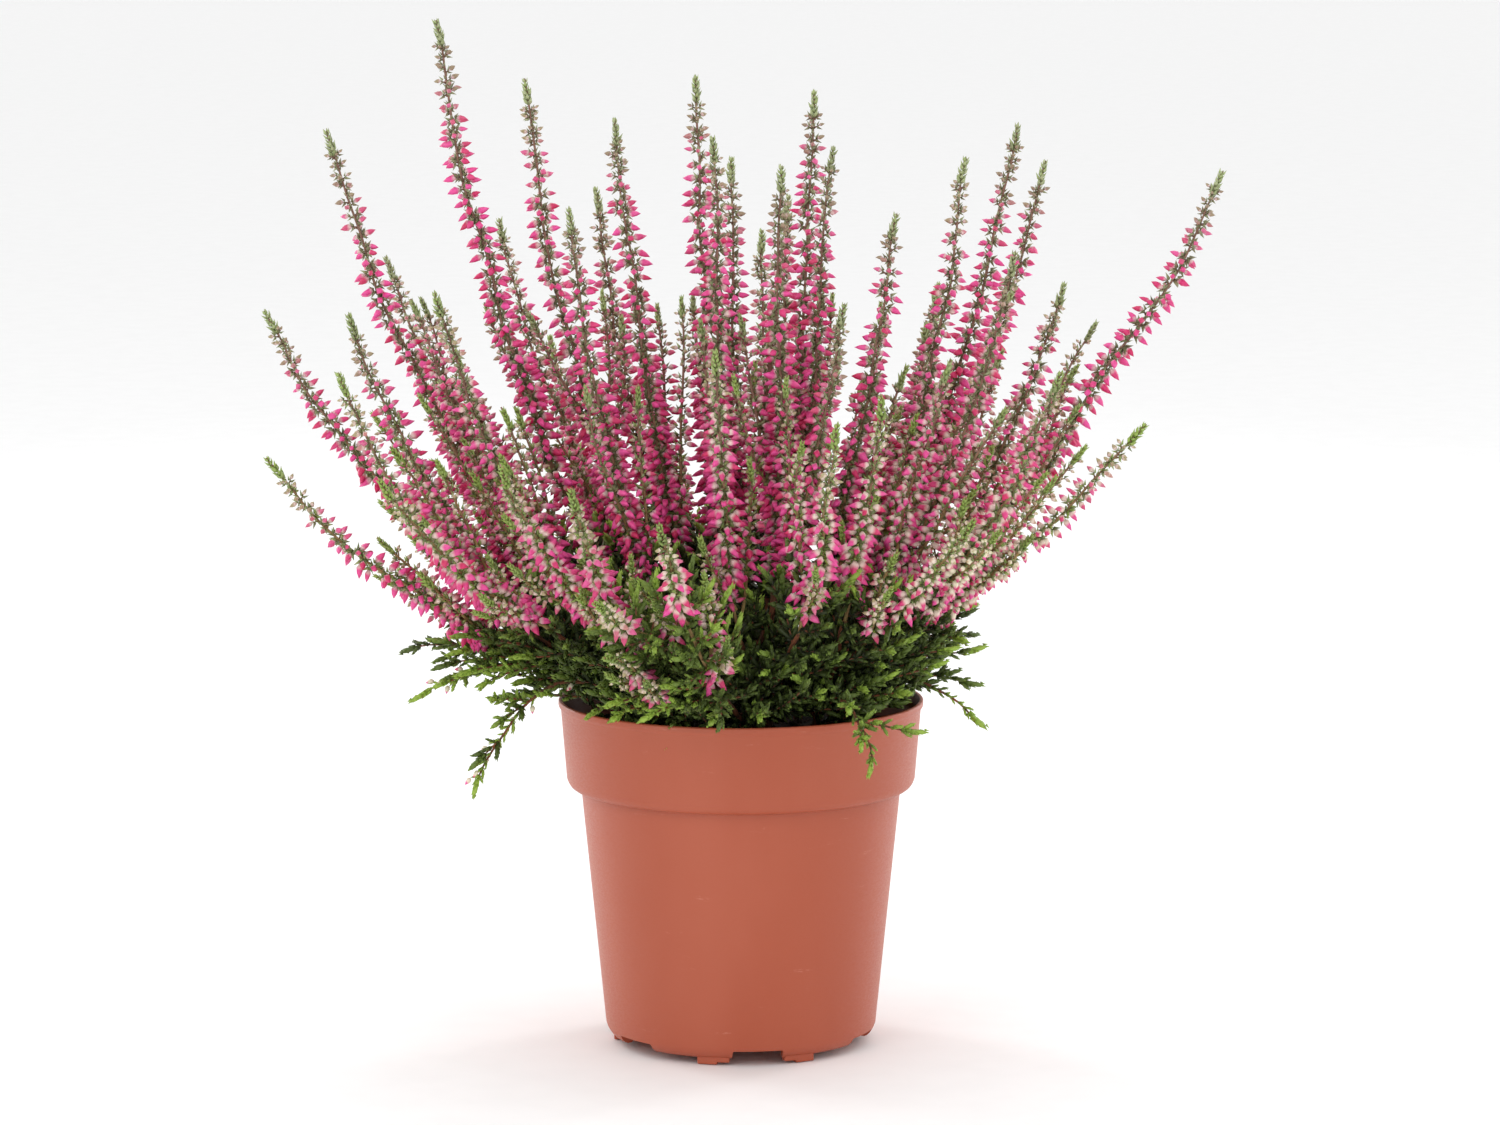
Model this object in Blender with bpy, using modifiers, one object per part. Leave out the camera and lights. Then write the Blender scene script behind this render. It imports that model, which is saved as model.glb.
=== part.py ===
# Potted heather: a bud-blooming heather in a thin plastic nursery pot.
# Units are metres, +Z is up, and the origin is on the pot's axis at the level of its feet.

import math
import random

import bmesh
import bpy
import numpy as np
from mathutils import Matrix, Vector, noise

# Pot: outer outline from the lip down to the middle of the base, as (radius, height)
POT_OUTLINE = [
    (0.0600, 0.1140),
    (0.0600, 0.1122),
    (0.0592, 0.1114),
    (0.0573, 0.0880),
    (0.0562, 0.0858),
    (0.0544, 0.0849),
    (0.0526, 0.0847),
    (0.0446, 0.0062),
    (0.0434, 0.0036),
    (0.0416, 0.0022),
    (0.0394, 0.0022),
    (0.0386, 0.0052),
    (0.0000, 0.0052),
]
POT_STEPS = 28
POT_WALL = 0.0012
SHARP_ANGLE = math.radians(35)
LIP_RADIUS = 0.0600
LIP_HEIGHT = 0.1140

# Notches in the base ring, the first one a little right of the front
NOTCH_COUNT = 6
NOTCH_FIRST = math.radians(-90 + 7.4)
NOTCH_WIDTH = 0.0165
NOTCH_TOP = 0.0050
NOTCH_START_RADIUS = 0.0368
NOTCH_DEPTH = 0.0200

# Feet: a pair of two-step blocks beside every second notch
FOOT_RING_RADIUS = 0.0408
FOOT_TOP = 0.0032
# Each block of a foot: its start beside the notch, width, depth, and the height of its underside
FOOT_BLOCKS = [
    (0.0006, 0.0050, 0.00260, 0.0008),
    (0.0046, 0.0066, 0.00234, 0.0000),
]

# Soil: a plug inside the pot with an uneven top, and a plain hole for each leafy stem
SOIL_GAP = 0.0006
SOIL_LEVEL = 0.1020
SOIL_MOUND = 0.0022
SOIL_LUMP = 0.0014
SOIL_LUMPS_PER_METRE = 70.0
SOIL_SIDE = [
    (0.0585, 0.1020),
    (0.0573, 0.0890),
    (0.0526, 0.0866),
    (0.0440, 0.0075),
    (0.0000, 0.0075),
]
SOIL_TOP_RADII = [0.0, 0.016, 0.031, 0.045]
HOLE_RADIUS = 0.0030
HOLE_SIDES = 8
HOLE_FLOOR = 0.0880
HOLE_CUT = 0.0300
TOUCH_GAP = 0.0003

# Leafy stems: the foot of each in the soil, then its flower spikes, leader first, each as the place
# of its tip and how far out its bend lies, as a share of its reach
STEMS = [
    ((-0.027, -0.008), [
        (-0.127, -0.014, 0.242, 0.74),
        (-0.153, -0.028, 0.197, 0.70),
        (-0.128, -0.050, 0.227, 0.74),
        (-0.113, -0.082, 0.197, 0.72),
        (-0.156, 0.008, 0.241, 0.74),
    ]),
    ((-0.022, 0.011), [
        (-0.099, 0.006, 0.336, 0.76),
        (-0.137, 0.034, 0.298, 0.72),
        (-0.120, 0.072, 0.253, 0.72),
        (-0.098, -0.034, 0.251, 0.74),
        (-0.071, 0.024, 0.316, 0.74),
    ]),
    ((-0.015, -0.024), [
        (-0.055, -0.032, 0.278, 0.72),
        (-0.075, -0.090, 0.202, 0.68),
        (-0.052, -0.108, 0.197, 0.68),
        (-0.047, -0.118, 0.163, 0.62),
        (-0.041, -0.088, 0.144, 0.60),
    ]),
    ((-0.008, 0.004), [
        (-0.041, 0.004, 0.304, 0.72),
        (-0.015, 0.036, 0.316, 0.72),
        (-0.049, 0.062, 0.277, 0.72),
        (-0.009, -0.022, 0.300, 0.72),
    ]),
    ((0.004, -0.026), [
        (-0.008, -0.066, 0.236, 0.72),
        (-0.025, -0.122, 0.188, 0.72),
        (0.030, -0.096, 0.216, 0.72),
        (0.013, -0.024, 0.291, 0.72),
        (0.033, -0.050, 0.249, 0.72),
    ]),
    ((0.009, -0.005), [
        (0.024, 0.022, 0.312, 0.72),
        (-0.003, 0.010, 0.291, 0.72),
        (0.030, -0.010, 0.296, 0.72),
        (0.050, -0.030, 0.276, 0.72),
        (0.016, 0.066, 0.274, 0.72),
    ]),
    ((0.022, -0.019), [
        (0.088, -0.030, 0.264, 0.72),
        (0.044, -0.078, 0.223, 0.72),
        (0.073, -0.088, 0.185, 0.64),
        (0.101, -0.066, 0.229, 0.72),
    ]),
    ((0.028, 0.003), [
        (0.073, -0.002, 0.292, 0.72),
        (0.091, 0.022, 0.301, 0.72),
        (0.157, 0.006, 0.287, 0.62),
        (0.130, -0.036, 0.209, 0.58),
        (0.107, 0.030, 0.248, 0.72),
    ]),
    ((0.017, 0.022), [
        (0.102, 0.064, 0.286, 0.72),
        (0.066, 0.050, 0.246, 0.72),
        (0.007, 0.095, 0.260, 0.72),
        (0.068, 0.112, 0.232, 0.72),
        (0.112, 0.096, 0.212, 0.72),
    ]),
    ((-0.009, 0.025), [
        (-0.082, 0.082, 0.265, 0.72),
        (-0.066, 0.112, 0.222, 0.72),
        (-0.030, 0.124, 0.205, 0.72),
        (0.034, 0.122, 0.214, 0.72),
        (-0.108, 0.102, 0.206, 0.72),
    ]),
]

# Sprigs without flowers that hang over the rim: the stem's number, the point passed on the way, the tip
SPRIGS = [
    (1, (-0.062, -0.026, 0.127), (-0.084, -0.036, 0.096)),
    (1, (-0.066, -0.012, 0.130), (-0.099, -0.020, 0.121)),
    (7, (0.034, -0.054, 0.124), (0.041, -0.074, 0.108)),
    (8, (0.054, -0.014, 0.126), (0.073, -0.018, 0.113)),
    (10, (-0.034, 0.054, 0.126), (-0.044, 0.076, 0.108)),
]

# Stems and forks
STEM_RADIUS = 0.0019
RING_TURN = 0.9
SHOOT_RADIUS = 0.0012
STEM_END_RADIUS = 0.0011
FOOT_UPRIGHT = 0.0175
FORK_START = 0.0190
FORK_BAND = 0.0038
STEM_BAND = 0.0105
FIRST_BAND = 0.0035
FORK_OUT = 0.82
FORK_UP = 0.57
FORK_REACH = 0.016
FORK_APART = 1.1
BEND_UP = 0.34
BEND_LOWEST = 0.144

# Flower spikes: the flowering part of a shoot, with rings of pointed florets
FLOWER_SHARE = 0.66
FLOWER_LONGEST = 0.150
FLOWER_BAND = 0.0079
FLORET_REACH = 0.0050
FLORET_LIFT = 0.0006
TIP_LENGTH = 0.0125
TIP_BANDS = 2
TIP_REACH = 0.0026
TIP_SHRINK = 0.2
FLORET_SHRINK = 0.5
SPIKE_TIP_RADIUS = 0.0007
POINT_LENGTH = 0.0026

# Leafy twigs
WHORL_BAND = 0.0026
TWIG_RADIUS = 0.0009
TWIG_LENGTH = 0.0205
TWIG_LEAF_REACH = 0.0034
TWIG_END_RADIUS = 0.00077
TWIG_ROOT_SHARE = 0.30
TWIG_END_SHARE = 0.66
LEAF_LIFT = 0.0012
TWIG_MOST = 165
TWIG_RISE = 0.090
TWIG_POINTS = 8
TWIG_OUT = 0.80
TWIG_ALONG = 0.47
TWIG_END_OUT = 0.55
TWIG_END_RISE = 0.45
TWIG_FIRST_SWAY = 0.3
TWIG_TRIES = 8
TWIG_SHORTER = 0.06
TWIG_SWAY = 0.35
TWIG_SEED = 11
TWIG_NEAR = 0.0055
TWIG_GAP = 0.0004
ROOT_WIDENING = 0.5
TIP_NARROWING = 0.7
TWIG_ROOT_REACH = 0.0023
SPRIG_BARE = 0.0100

# Room that a shoot keeps round its axis
STEM_ROOM = 0.0016
SPIKE_ROOM = 0.0052
TIP_ROOM = 0.0030
SPIKE_LEAD = 0.0020
TIP_TAPER = 0.0075
TWIG_ROOM = 0.0036
ROOM_GAP = 0.0005
RIM_CLEAR = 0.0010
RIM_ZONE = 0.0080
PATH_STEP = 0.0035
CURVE_POINTS = 200
SPREAD_ROUNDS = 240
SPREAD_PUSH = 0.35
SPREAD_LEVEL = np.array([1.0, 1.0, 0.3])
SEARCH_EVERY = 12
SEARCH_REACH = 0.017

UP = Vector((0.0, 0.0, 1.0))


# Scene and materials

def clear_scene():
    for item in list(bpy.data.objects):
        bpy.data.objects.remove(item, do_unlink=True)
    for item in list(bpy.data.collections):
        bpy.data.collections.remove(item)


def new_collection(name):
    collection = bpy.data.collections.new(name)
    bpy.context.scene.collection.children.link(collection)
    return collection


def material(name, colour, roughness, metallic=0.0):
    made = bpy.data.materials.new(name)
    made.use_nodes = True
    shader = made.node_tree.nodes["Principled BSDF"]
    shader.inputs["Base Color"].default_value = (*colour, 1.0)
    shader.inputs["Roughness"].default_value = roughness
    shader.inputs["Metallic"].default_value = metallic
    made.diffuse_color = (*colour, 1.0)
    return made


def add_object(name, mesh, collection, made_of=None):
    item = bpy.data.objects.new(name, mesh)
    collection.objects.link(item)
    if made_of:
        mesh.materials.append(made_of)
    return item


def add_box(name, size, centre, turn, collection):
    """A box whose local X points outward from the pot's axis at the angle turn."""
    mesh = bpy.data.meshes.new(name)
    shape = bmesh.new()
    bmesh.ops.create_cube(shape, size=1.0)
    bmesh.ops.scale(shape, vec=size, verts=shape.verts)
    bmesh.ops.translate(shape, vec=centre, verts=shape.verts)
    bmesh.ops.rotate(shape, cent=(0, 0, 0), matrix=Matrix.Rotation(turn, 3, "Z"), verts=shape.verts)
    shape.to_mesh(mesh)
    shape.free()
    return add_object(name, mesh, collection)


def hide_cutter(item):
    item.hide_render = True
    item.display_type = "WIRE"


def turned(name, outline, steps, collection, made_of):
    """A profile at +X, from its top to the axis, swept round Z."""
    mesh = bpy.data.meshes.new(name)
    edges = [(i, i + 1) for i in range(len(outline) - 1)]
    mesh.from_pydata([(r, 0.0, z) for r, z in outline], edges, [])
    item = add_object(name, mesh, collection, made_of)
    sweep = item.modifiers.new("Sweep", "SCREW")
    sweep.steps = steps
    sweep.render_steps = steps
    sweep.use_merge_vertices = True
    sweep.merge_threshold = 0.00001
    return item


def apply_modifiers(item):
    """Replace an object's mesh with its evaluated shape."""
    bpy.context.view_layer.update()
    seen = item.evaluated_get(bpy.context.evaluated_depsgraph_get())
    mesh = bpy.data.meshes.new_from_object(seen)
    item.modifiers.clear()
    item.data = mesh
    mesh.name = item.name


# Pot and soil

def build_pot(collection, made_of):
    pot = turned("pot", POT_OUTLINE, POT_STEPS, collection, made_of)
    wall = pot.modifiers.new("Wall", "SOLIDIFY")
    wall.thickness = POT_WALL
    wall.offset = -1.0
    wall.use_even_offset = True

    feet = new_collection("pot_feet")
    for pair in range(0, NOTCH_COUNT, 2):
        turn = NOTCH_FIRST + pair * math.tau / NOTCH_COUNT
        for side in (-1, 1):
            for start, width, depth, level in FOOT_BLOCKS:
                height = FOOT_TOP - level
                across = side * (NOTCH_WIDTH / 2 + start + width / 2)
                place = (FOOT_RING_RADIUS, 0.0, level + height / 2)
                foot_turn = turn + across / FOOT_RING_RADIUS
                add_box("foot", (depth, width, height), place, foot_turn, feet)
    join = pot.modifiers.new("Feet", "BOOLEAN")
    join.operation = "UNION"
    join.operand_type = "COLLECTION"
    join.collection = feet

    notches = new_collection("pot_notches")
    for index in range(NOTCH_COUNT):
        turn = NOTCH_FIRST + index * math.tau / NOTCH_COUNT
        size = (NOTCH_DEPTH, NOTCH_WIDTH, 2 * NOTCH_TOP)
        centre = (NOTCH_START_RADIUS + NOTCH_DEPTH / 2, 0.0, 0.0)
        hide_cutter(add_box("notch", size, centre, turn, notches))
    cut = pot.modifiers.new("Notches", "BOOLEAN")
    cut.operation = "DIFFERENCE"
    cut.operand_type = "COLLECTION"
    cut.collection = notches

    apply_modifiers(pot)
    for group in (feet, notches):
        for item in list(group.objects):
            bpy.data.objects.remove(item, do_unlink=True)
        bpy.data.collections.remove(group)
    pot.data.shade_smooth()
    pot.data.set_sharp_from_angle(angle=SHARP_ANGLE)
    return pot


def soil_height(x, y):
    """Height of the soil's uneven top at a place inside the pot."""
    rise = SOIL_MOUND * math.cos(min(math.hypot(x, y) / LIP_RADIUS, 1.0) * math.pi / 2)
    lump = noise.noise(Vector((x, y, 0.0)) * SOIL_LUMPS_PER_METRE)
    return SOIL_LEVEL + rise + SOIL_LUMP * lump


def build_soil(collection, cutters, made_of):
    top = [(r, SOIL_LEVEL) for r in SOIL_TOP_RADII]
    side = [(max(r - POT_WALL - SOIL_GAP, 0.0), z) for r, z in SOIL_SIDE]
    soil = turned("soil", top + side, POT_STEPS, collection, made_of)
    apply_modifiers(soil)
    for vertex in soil.data.vertices:
        if vertex.co.z > SOIL_LEVEL - TOUCH_GAP:
            vertex.co.z = soil_height(vertex.co.x, vertex.co.y)

    for index, (foot, tips) in enumerate(STEMS, start=1):
        mesh = bpy.data.meshes.new("hole")
        shape = bmesh.new()
        bmesh.ops.create_cone(shape, cap_ends=True, segments=HOLE_SIDES, radius1=HOLE_RADIUS,
                              radius2=HOLE_RADIUS, depth=HOLE_CUT)
        shape.to_mesh(mesh)
        shape.free()
        hole = add_object(f"hole_{index:02d}", mesh, cutters)
        hole.location = (foot[0], foot[1], HOLE_FLOOR + HOLE_CUT / 2)
        hide_cutter(hole)
    cut = soil.modifiers.new("Holes", "BOOLEAN")
    cut.operation = "DIFFERENCE"
    cut.operand_type = "COLLECTION"
    cut.collection = cutters
    apply_modifiers(soil)
    return soil


# Paths of the shoots

def bezier(points, share):
    """Point on a Bezier curve through any number of control points."""
    row = [point.copy() for point in points]
    while len(row) > 1:
        row = [a.lerp(b, share) for a, b in zip(row, row[1:])]
    return row[0]


def even_path(controls, step):
    """A Bezier curve as points about one step apart."""
    fine = [bezier(controls, i / CURVE_POINTS) for i in range(CURVE_POINTS + 1)]
    length = sum((b - a).length for a, b in zip(fine, fine[1:]))
    count = max(4, round(length / step))
    return along(fine, [length * i / count for i in range(count + 1)])


def along(path, places):
    """Points of a path at the given distances from its start."""
    found = []
    start = 0.0
    index = 0
    for place in places:
        while index < len(path) - 2 and start + (path[index + 1] - path[index]).length < place:
            start += (path[index + 1] - path[index]).length
            index += 1
        piece = path[index + 1] - path[index]
        share = (place - start) / max(piece.length, 1e-9)
        found.append(path[index] + piece * share)
    return found


def path_length(path):
    return sum((b - a).length for a, b in zip(path, path[1:]))


def bend_controls(start, lift, tip, bend):
    """Control points of a shoot that spreads low down and then rises to its tip."""
    reach = tip - start
    turn = start + Vector((reach.x * bend, reach.y * bend, reach.z * BEND_UP))
    turn.z = max(turn.z, BEND_LOWEST)
    return [start, start + lift, turn, tip]


class Shoot:
    """One stem with its flower spike, or a leafy sprig, from the soil or a fork up to the tip."""

    def __init__(self, stem, number, path, held, flowering=True):
        self.stem = stem
        self.number = number
        self.path = path
        self.held = held
        self.flowering = flowering
        self.fork = None
        self.end_ring = None

    def flower_start(self):
        length = path_length(self.path)
        if not self.flowering:
            return length
        return length - min(FLOWER_SHARE * length, FLOWER_LONGEST)

    def rooms(self):
        """Room kept round each point of the path."""
        length = path_length(self.path)
        start = self.flower_start()
        found = []
        place = 0.0
        for index, point in enumerate(self.path):
            if index:
                place += (point - self.path[index - 1]).length
            if place < start - SPIKE_LEAD:
                bare = self.flowering or place < SPRIG_BARE
                found.append(STEM_ROOM if bare else TWIG_ROOM)
            elif place > length - TIP_TAPER:
                found.append(TIP_ROOM)
            else:
                found.append(SPIKE_ROOM)
        return found


def smoothed(rows):
    padded = np.vstack([rows[:1], rows, rows[-1:]])
    return (padded[:-2] + padded[1:-1] * 2 + padded[2:]) / 4


def spread_shoots(shoots):
    """Lean the shoots away from each other until each has room, holding their lowest parts."""
    owner = np.concatenate([[i] * len(s.path) for i, s in enumerate(shoots)])
    grown = np.array([tuple(p) for s in shoots for p in s.path])
    room = np.concatenate([s.rooms() for s in shoots])
    first = np.cumsum([0] + [len(s.path) for s in shoots])
    free = np.concatenate([
        np.clip((np.arange(len(s.path)) - s.held) / 3.0, 0.0, 1.0) for s in shoots])[:, None]
    floor = LIP_HEIGHT + room + RIM_CLEAR
    lean = np.zeros_like(grown)
    for turn in range(SPREAD_ROUNDS):
        place = grown + lean
        if turn % SEARCH_EVERY == 0:
            gap = place[:, None, :] - place[None, :, :]
            near = (gap ** 2).sum(axis=2) < SEARCH_REACH ** 2
            rows, columns = np.nonzero(near & (owner[:, None] != owner[None, :]))
            need = room[rows] + room[columns] + ROOM_GAP
        gap = place[rows] - place[columns]
        lack = need - np.sqrt((gap ** 2).sum(axis=1))
        close = lack > 0
        across = gap[close] * SPREAD_LEVEL
        size = np.sqrt((across ** 2).sum(axis=1)) + 1e-9
        move = np.zeros_like(place)
        np.add.at(move, rows[close], across * (lack[close] / size)[:, None] * SPREAD_PUSH)
        out = np.hypot(place[:, 0], place[:, 1])
        low = (out > LIP_RADIUS - RIM_ZONE) & (out < LIP_RADIUS + RIM_ZONE) & (place[:, 2] < floor)
        move[:, 2] += np.where(low, (floor - place[:, 2]) * SPREAD_PUSH, 0.0)
        for a, b in zip(first, first[1:]):
            lean[a:b] = smoothed(lean[a:b] + smoothed(smoothed(move[a:b])))
        lean *= free > 0
        lean += (smoothed(lean) - lean) * (1 - free)
        lean *= free > 0
    for shoot, a, b in zip(shoots, first, first[1:]):
        shoot.path = [Vector(row) for row in (grown + lean)[a:b]]


# Growth: three-sided tubes whose rings turn by a sixth, with raised florets and leaves

def ring_points(centre, direction, radius, angle):
    across = direction.orthogonal().normalized()
    other = direction.cross(across).normalized()
    points = []
    for index in range(3):
        turn = angle + index * math.tau / 3
        points.append(centre + (across * math.cos(turn) + other * math.sin(turn)) * radius)
    return points


def next_ring(ring, centre, direction, radius):
    """Three points round a new centre, each between two of the ring below."""
    across = direction.orthogonal().normalized()
    other = direction.cross(across).normalized()
    middle = (ring[0] + ring[1] + ring[2]) / 3
    cosine = 0.0
    sine = 0.0
    for index, corner in enumerate(ring):
        arm = corner - middle
        turn = math.atan2(arm.dot(other), arm.dot(across)) - index * math.tau / 3
        cosine += math.cos(turn)
        sine += math.sin(turn)
    return ring_points(centre, direction, radius, math.atan2(sine, cosine) + math.tau / 6)


class Side:
    """One triangle of a tube's side that can stay flat, be raised to a leaf, or be a root."""

    def __init__(self, corners, below, above, reach, lift):
        self.corners = corners
        self.below = below
        self.above = above
        self.reach = reach
        self.lift = lift
        self.used = False

    def centre(self):
        return (self.corners[0].co + self.corners[1].co + self.corners[2].co) / 3

    def normal(self):
        a, b, c = [corner.co for corner in self.corners]
        return (b - a).cross(c - a).normalized()

    def close(self, mesh):
        if self.used:
            return
        if not self.reach:
            mesh.faces.new(self.corners)
            return
        axis = (self.above - self.below).normalized()
        middle = (self.above + self.below) / 2
        arm = self.centre() - middle
        arm = (arm - axis * arm.dot(axis)).normalized()
        peak = mesh.verts.new(middle + arm * self.reach + axis * self.lift)
        a, b, c = self.corners
        mesh.faces.new((a, b, peak))
        mesh.faces.new((b, c, peak))
        mesh.faces.new((c, a, peak))


def grow(mesh, ring, base, centres, radii, reaches, lift, pointed):
    """Grow a tube from a ring of three vertices, and give its sides, band by band."""
    bands = []
    below = base
    for index, centre in enumerate(centres):
        ahead = centres[min(index + 1, len(centres) - 1)]
        direction = (ahead - below).normalized()
        places = next_ring([corner.co for corner in ring], centre, direction, radii[index])
        above = [mesh.verts.new(place) for place in places]
        sides = []
        for i in range(3):
            j = (i + 1) % 3
            sides.append(Side((ring[i], ring[j], above[i]), below, centre, reaches[index], lift))
            sides.append(Side((above[i], ring[j], above[j]), below, centre, 0.0, 0.0))
        bands.append(sides)
        ring = above
        last = below
        below = centre
    direction = (below - last).normalized()
    if pointed:
        peak = mesh.verts.new(below + direction * POINT_LENGTH)
        for i in range(3):
            mesh.faces.new((ring[i], ring[(i + 1) % 3], peak))
    else:
        mesh.faces.new(ring)
    return bands, [corner.co.copy() for corner in ring]


def start_ring(mesh, places):
    ring = [mesh.verts.new(place) for place in places]
    mesh.faces.new((ring[2], ring[1], ring[0]))
    return ring


def close_sides(mesh, bands):
    for sides in bands:
        for side in sides:
            side.close(mesh)


def finish_mesh(name, mesh, collection, made_of):
    data = bpy.data.meshes.new(name)
    mesh.to_mesh(data)
    mesh.free()
    return add_object(name, data, collection, made_of)


# Leafy stems: a leader, forks low down, and whorls of leafy twigs

def fork_places(forks):
    """Ring places along a leader up to the end of its forks."""
    return [FORK_START * 0.5, FORK_START] + [FORK_START + FORK_BAND * (i + 1) for i in range(forks)]


def stem_places(start, end):
    """Ring places of a stem between two places: long bands with short ones for whorls between."""
    whorls = int((end - start - FIRST_BAND) / (STEM_BAND + WHORL_BAND))
    if whorls < 1:
        return [end], []
    long_band = (end - start - whorls * WHORL_BAND) / (whorls + 1)
    places = []
    whorl_bands = []
    place = start
    for index in range(whorls):
        places += [place + long_band, place + long_band + WHORL_BAND]
        whorl_bands.append(len(places) - 1)
        place += long_band + WHORL_BAND
    return places + [end], whorl_bands


def plan_stem(number, foot, tips, sprigs):
    """Paths of a stem's leader and of the shoots and sprigs that fork from it."""
    start = Vector((foot[0], foot[1], HOLE_FLOOR + TOUCH_GAP))
    above = start + UP * FOOT_UPRIGHT
    first = Vector(tips[0][:3])
    path = even_path(bend_controls(above, UP * FORK_REACH, first, tips[0][3]), PATH_STEP)
    path = [start, start.lerp(above, 0.5)] + path
    lowest_first = sorted(tips[1:], key=lambda tip: tip[2])
    others = [(tip, over, 0.0) for over, tip in sprigs]
    others += [(Vector(tip[:3]), None, tip[3]) for tip in lowest_first]
    held = 2 + math.ceil((FORK_BAND * (len(others) + 1)) / PATH_STEP)
    leader = Shoot(number, 1, path, held)

    trial = bmesh.new()
    centres = along(path, fork_places(len(others)))
    ring = start_ring(trial, ring_points(path[0], UP, STEM_RADIUS, number * RING_TURN))
    radii = [STEM_RADIUS] * len(centres)
    bands, end = grow(trial, ring, path[0], centres, radii, [0.0] * len(centres), 0.0, False)
    shoots = [leader]
    spike = 1
    before = Vector()
    for index, (tip, over, bend) in enumerate(others):
        band = index + 2
        toward = over or tip
        sides = bands[band]
        aim = (toward - centres[band]).normalized() - (first - centres[band]).normalized()
        aim = Vector((aim.x, aim.y, 0.0)).normalized()
        fits = [side.normal().dot(aim - before * FORK_APART) for side in sides]
        chosen = fits.index(max(fits))
        before = sides[chosen].normal()
        root = sides[chosen].centre()
        out = sides[chosen].normal()
        lift = (out * FORK_OUT + UP * FORK_UP).normalized() * FORK_REACH
        if over:
            controls = [root, root + lift, over * 2 - (root + lift + tip) / 2, tip]
            shoot = Shoot(number, 0, even_path(controls, PATH_STEP), 2, flowering=False)
        else:
            spike += 1
            controls = bend_controls(root, lift, tip, bend)
            shoot = Shoot(number, spike, even_path(controls, PATH_STEP), 2)
        shoot.fork = (band, chosen)
        shoots.append(shoot)
    trial.free()
    return shoots


def build_stem(number, shoots):
    """Tubes of one leafy stem: gives its open mesh, its sides and the places for twigs."""
    mesh = bmesh.new()
    leader = shoots[0]
    forks = fork_places(len(shoots) - 1)
    ring = start_ring(mesh, ring_points(leader.path[0], UP, STEM_RADIUS, number * RING_TURN))
    places, whorls = stem_places(forks[-1], leader.flower_start())
    centres = along(leader.path, forks + places)
    radii = [STEM_RADIUS] * len(forks) + [STEM_END_RADIUS] * len(places)
    bands, leader.end_ring = grow(mesh, ring, leader.path[0], centres, radii,
                                  [0.0] * len(centres), 0.0, False)
    everything = list(bands)
    twig_sides = []
    for order, band in enumerate(whorls):
        twig_sides += bands[band + len(forks)][order % 2::2]
    for shoot in shoots[1:]:
        root = bands[shoot.fork[0]][shoot.fork[1]]
        root.used = True
        length = shoot.flower_start()
        places, whorls = stem_places(0.0, length)
        if places[0] > FIRST_BAND:
            places = [FIRST_BAND] + places
            whorls = [band + 1 for band in whorls]
        centres = along(shoot.path, places)
        radii = [SHOOT_RADIUS] * len(places)
        reaches = [0.0] * len(places)
        if not shoot.flowering:
            reaches = [0.0] + [TWIG_LEAF_REACH] * (len(places) - 1)
        grown, shoot.end_ring = grow(mesh, root.corners, root.centre(), centres, radii, reaches,
                                     LEAF_LIFT, not shoot.flowering)
        everything += grown
        for order, band in enumerate(whorls):
            twig_sides += grown[band][order % 2::2]
            for side in grown[band]:
                side.reach = 0.0
    return mesh, everything, twig_sides


def twig_path(side, turn, length):
    """A short path from a side of a stem, outward and up."""
    axis = (side.above - side.below).normalized()
    out = side.normal()
    out = (out - axis * out.dot(axis)).normalized()
    sway = axis.cross(out) * turn
    start = side.centre()
    leaving = (out * TWIG_OUT + axis * TWIG_ALONG + sway * TWIG_FIRST_SWAY).normalized()
    rising = (out * TWIG_END_OUT + axis * TWIG_ALONG + sway + UP * TWIG_END_RISE).normalized()
    middle = start + leaving * length / 2
    end = middle + rising * length / 2
    return [bezier([start, middle, end], i / TWIG_POINTS) for i in range(TWIG_POINTS + 1)]


class Room:
    """Points already taken, with the room each keeps."""

    def __init__(self, shoots):
        self.places = np.array([tuple(p) for s in shoots for p in s.path])
        self.rooms = np.concatenate([s.rooms() for s in shoots])
        self.stems = len(self.places)

    def clear(self, points, rooms):
        """True where a twig keeps clear of all but the stem beside its root."""
        points = np.array([tuple(p) for p in points])
        rooms = np.array(rooms)
        gap = points[:, None, :] - self.places[None, :, :]
        lack = rooms[:, None] + self.rooms[None, :] + TWIG_GAP - np.sqrt((gap ** 2).sum(axis=2))
        beside = np.sqrt(((self.places - points[0]) ** 2).sum(axis=1)) < TWIG_NEAR
        beside[self.stems:] = False
        if (lack[:, ~beside] > 0).any():
            return False
        out = np.hypot(points[:, 0], points[:, 1])
        at_rim = (out > LIP_RADIUS - RIM_ZONE - rooms) & (out < LIP_RADIUS + rooms + RIM_CLEAR)
        if (at_rim & (points[:, 2] < LIP_HEIGHT + rooms + RIM_CLEAR)).any():
            return False
        in_pot = out < LIP_RADIUS
        return not (in_pot & (points[:, 2] < SOIL_LEVEL + SOIL_MOUND + rooms + RIM_CLEAR)).any()

    def take(self, points, rooms):
        self.places = np.vstack([self.places, [tuple(p) for p in points]])
        self.rooms = np.concatenate([self.rooms, rooms])


def twig_room(point, path):
    """Room round a point of a twig: it widens from the root and narrows again to the tip."""
    from_root = (point - path[0]).length
    from_tip = (point - path[-1]).length
    widened = TWIG_RADIUS + ROOT_WIDENING * from_root
    narrowed = TWIG_RADIUS + TIP_NARROWING * from_tip
    return min(TWIG_ROOM, widened, narrowed)


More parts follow.
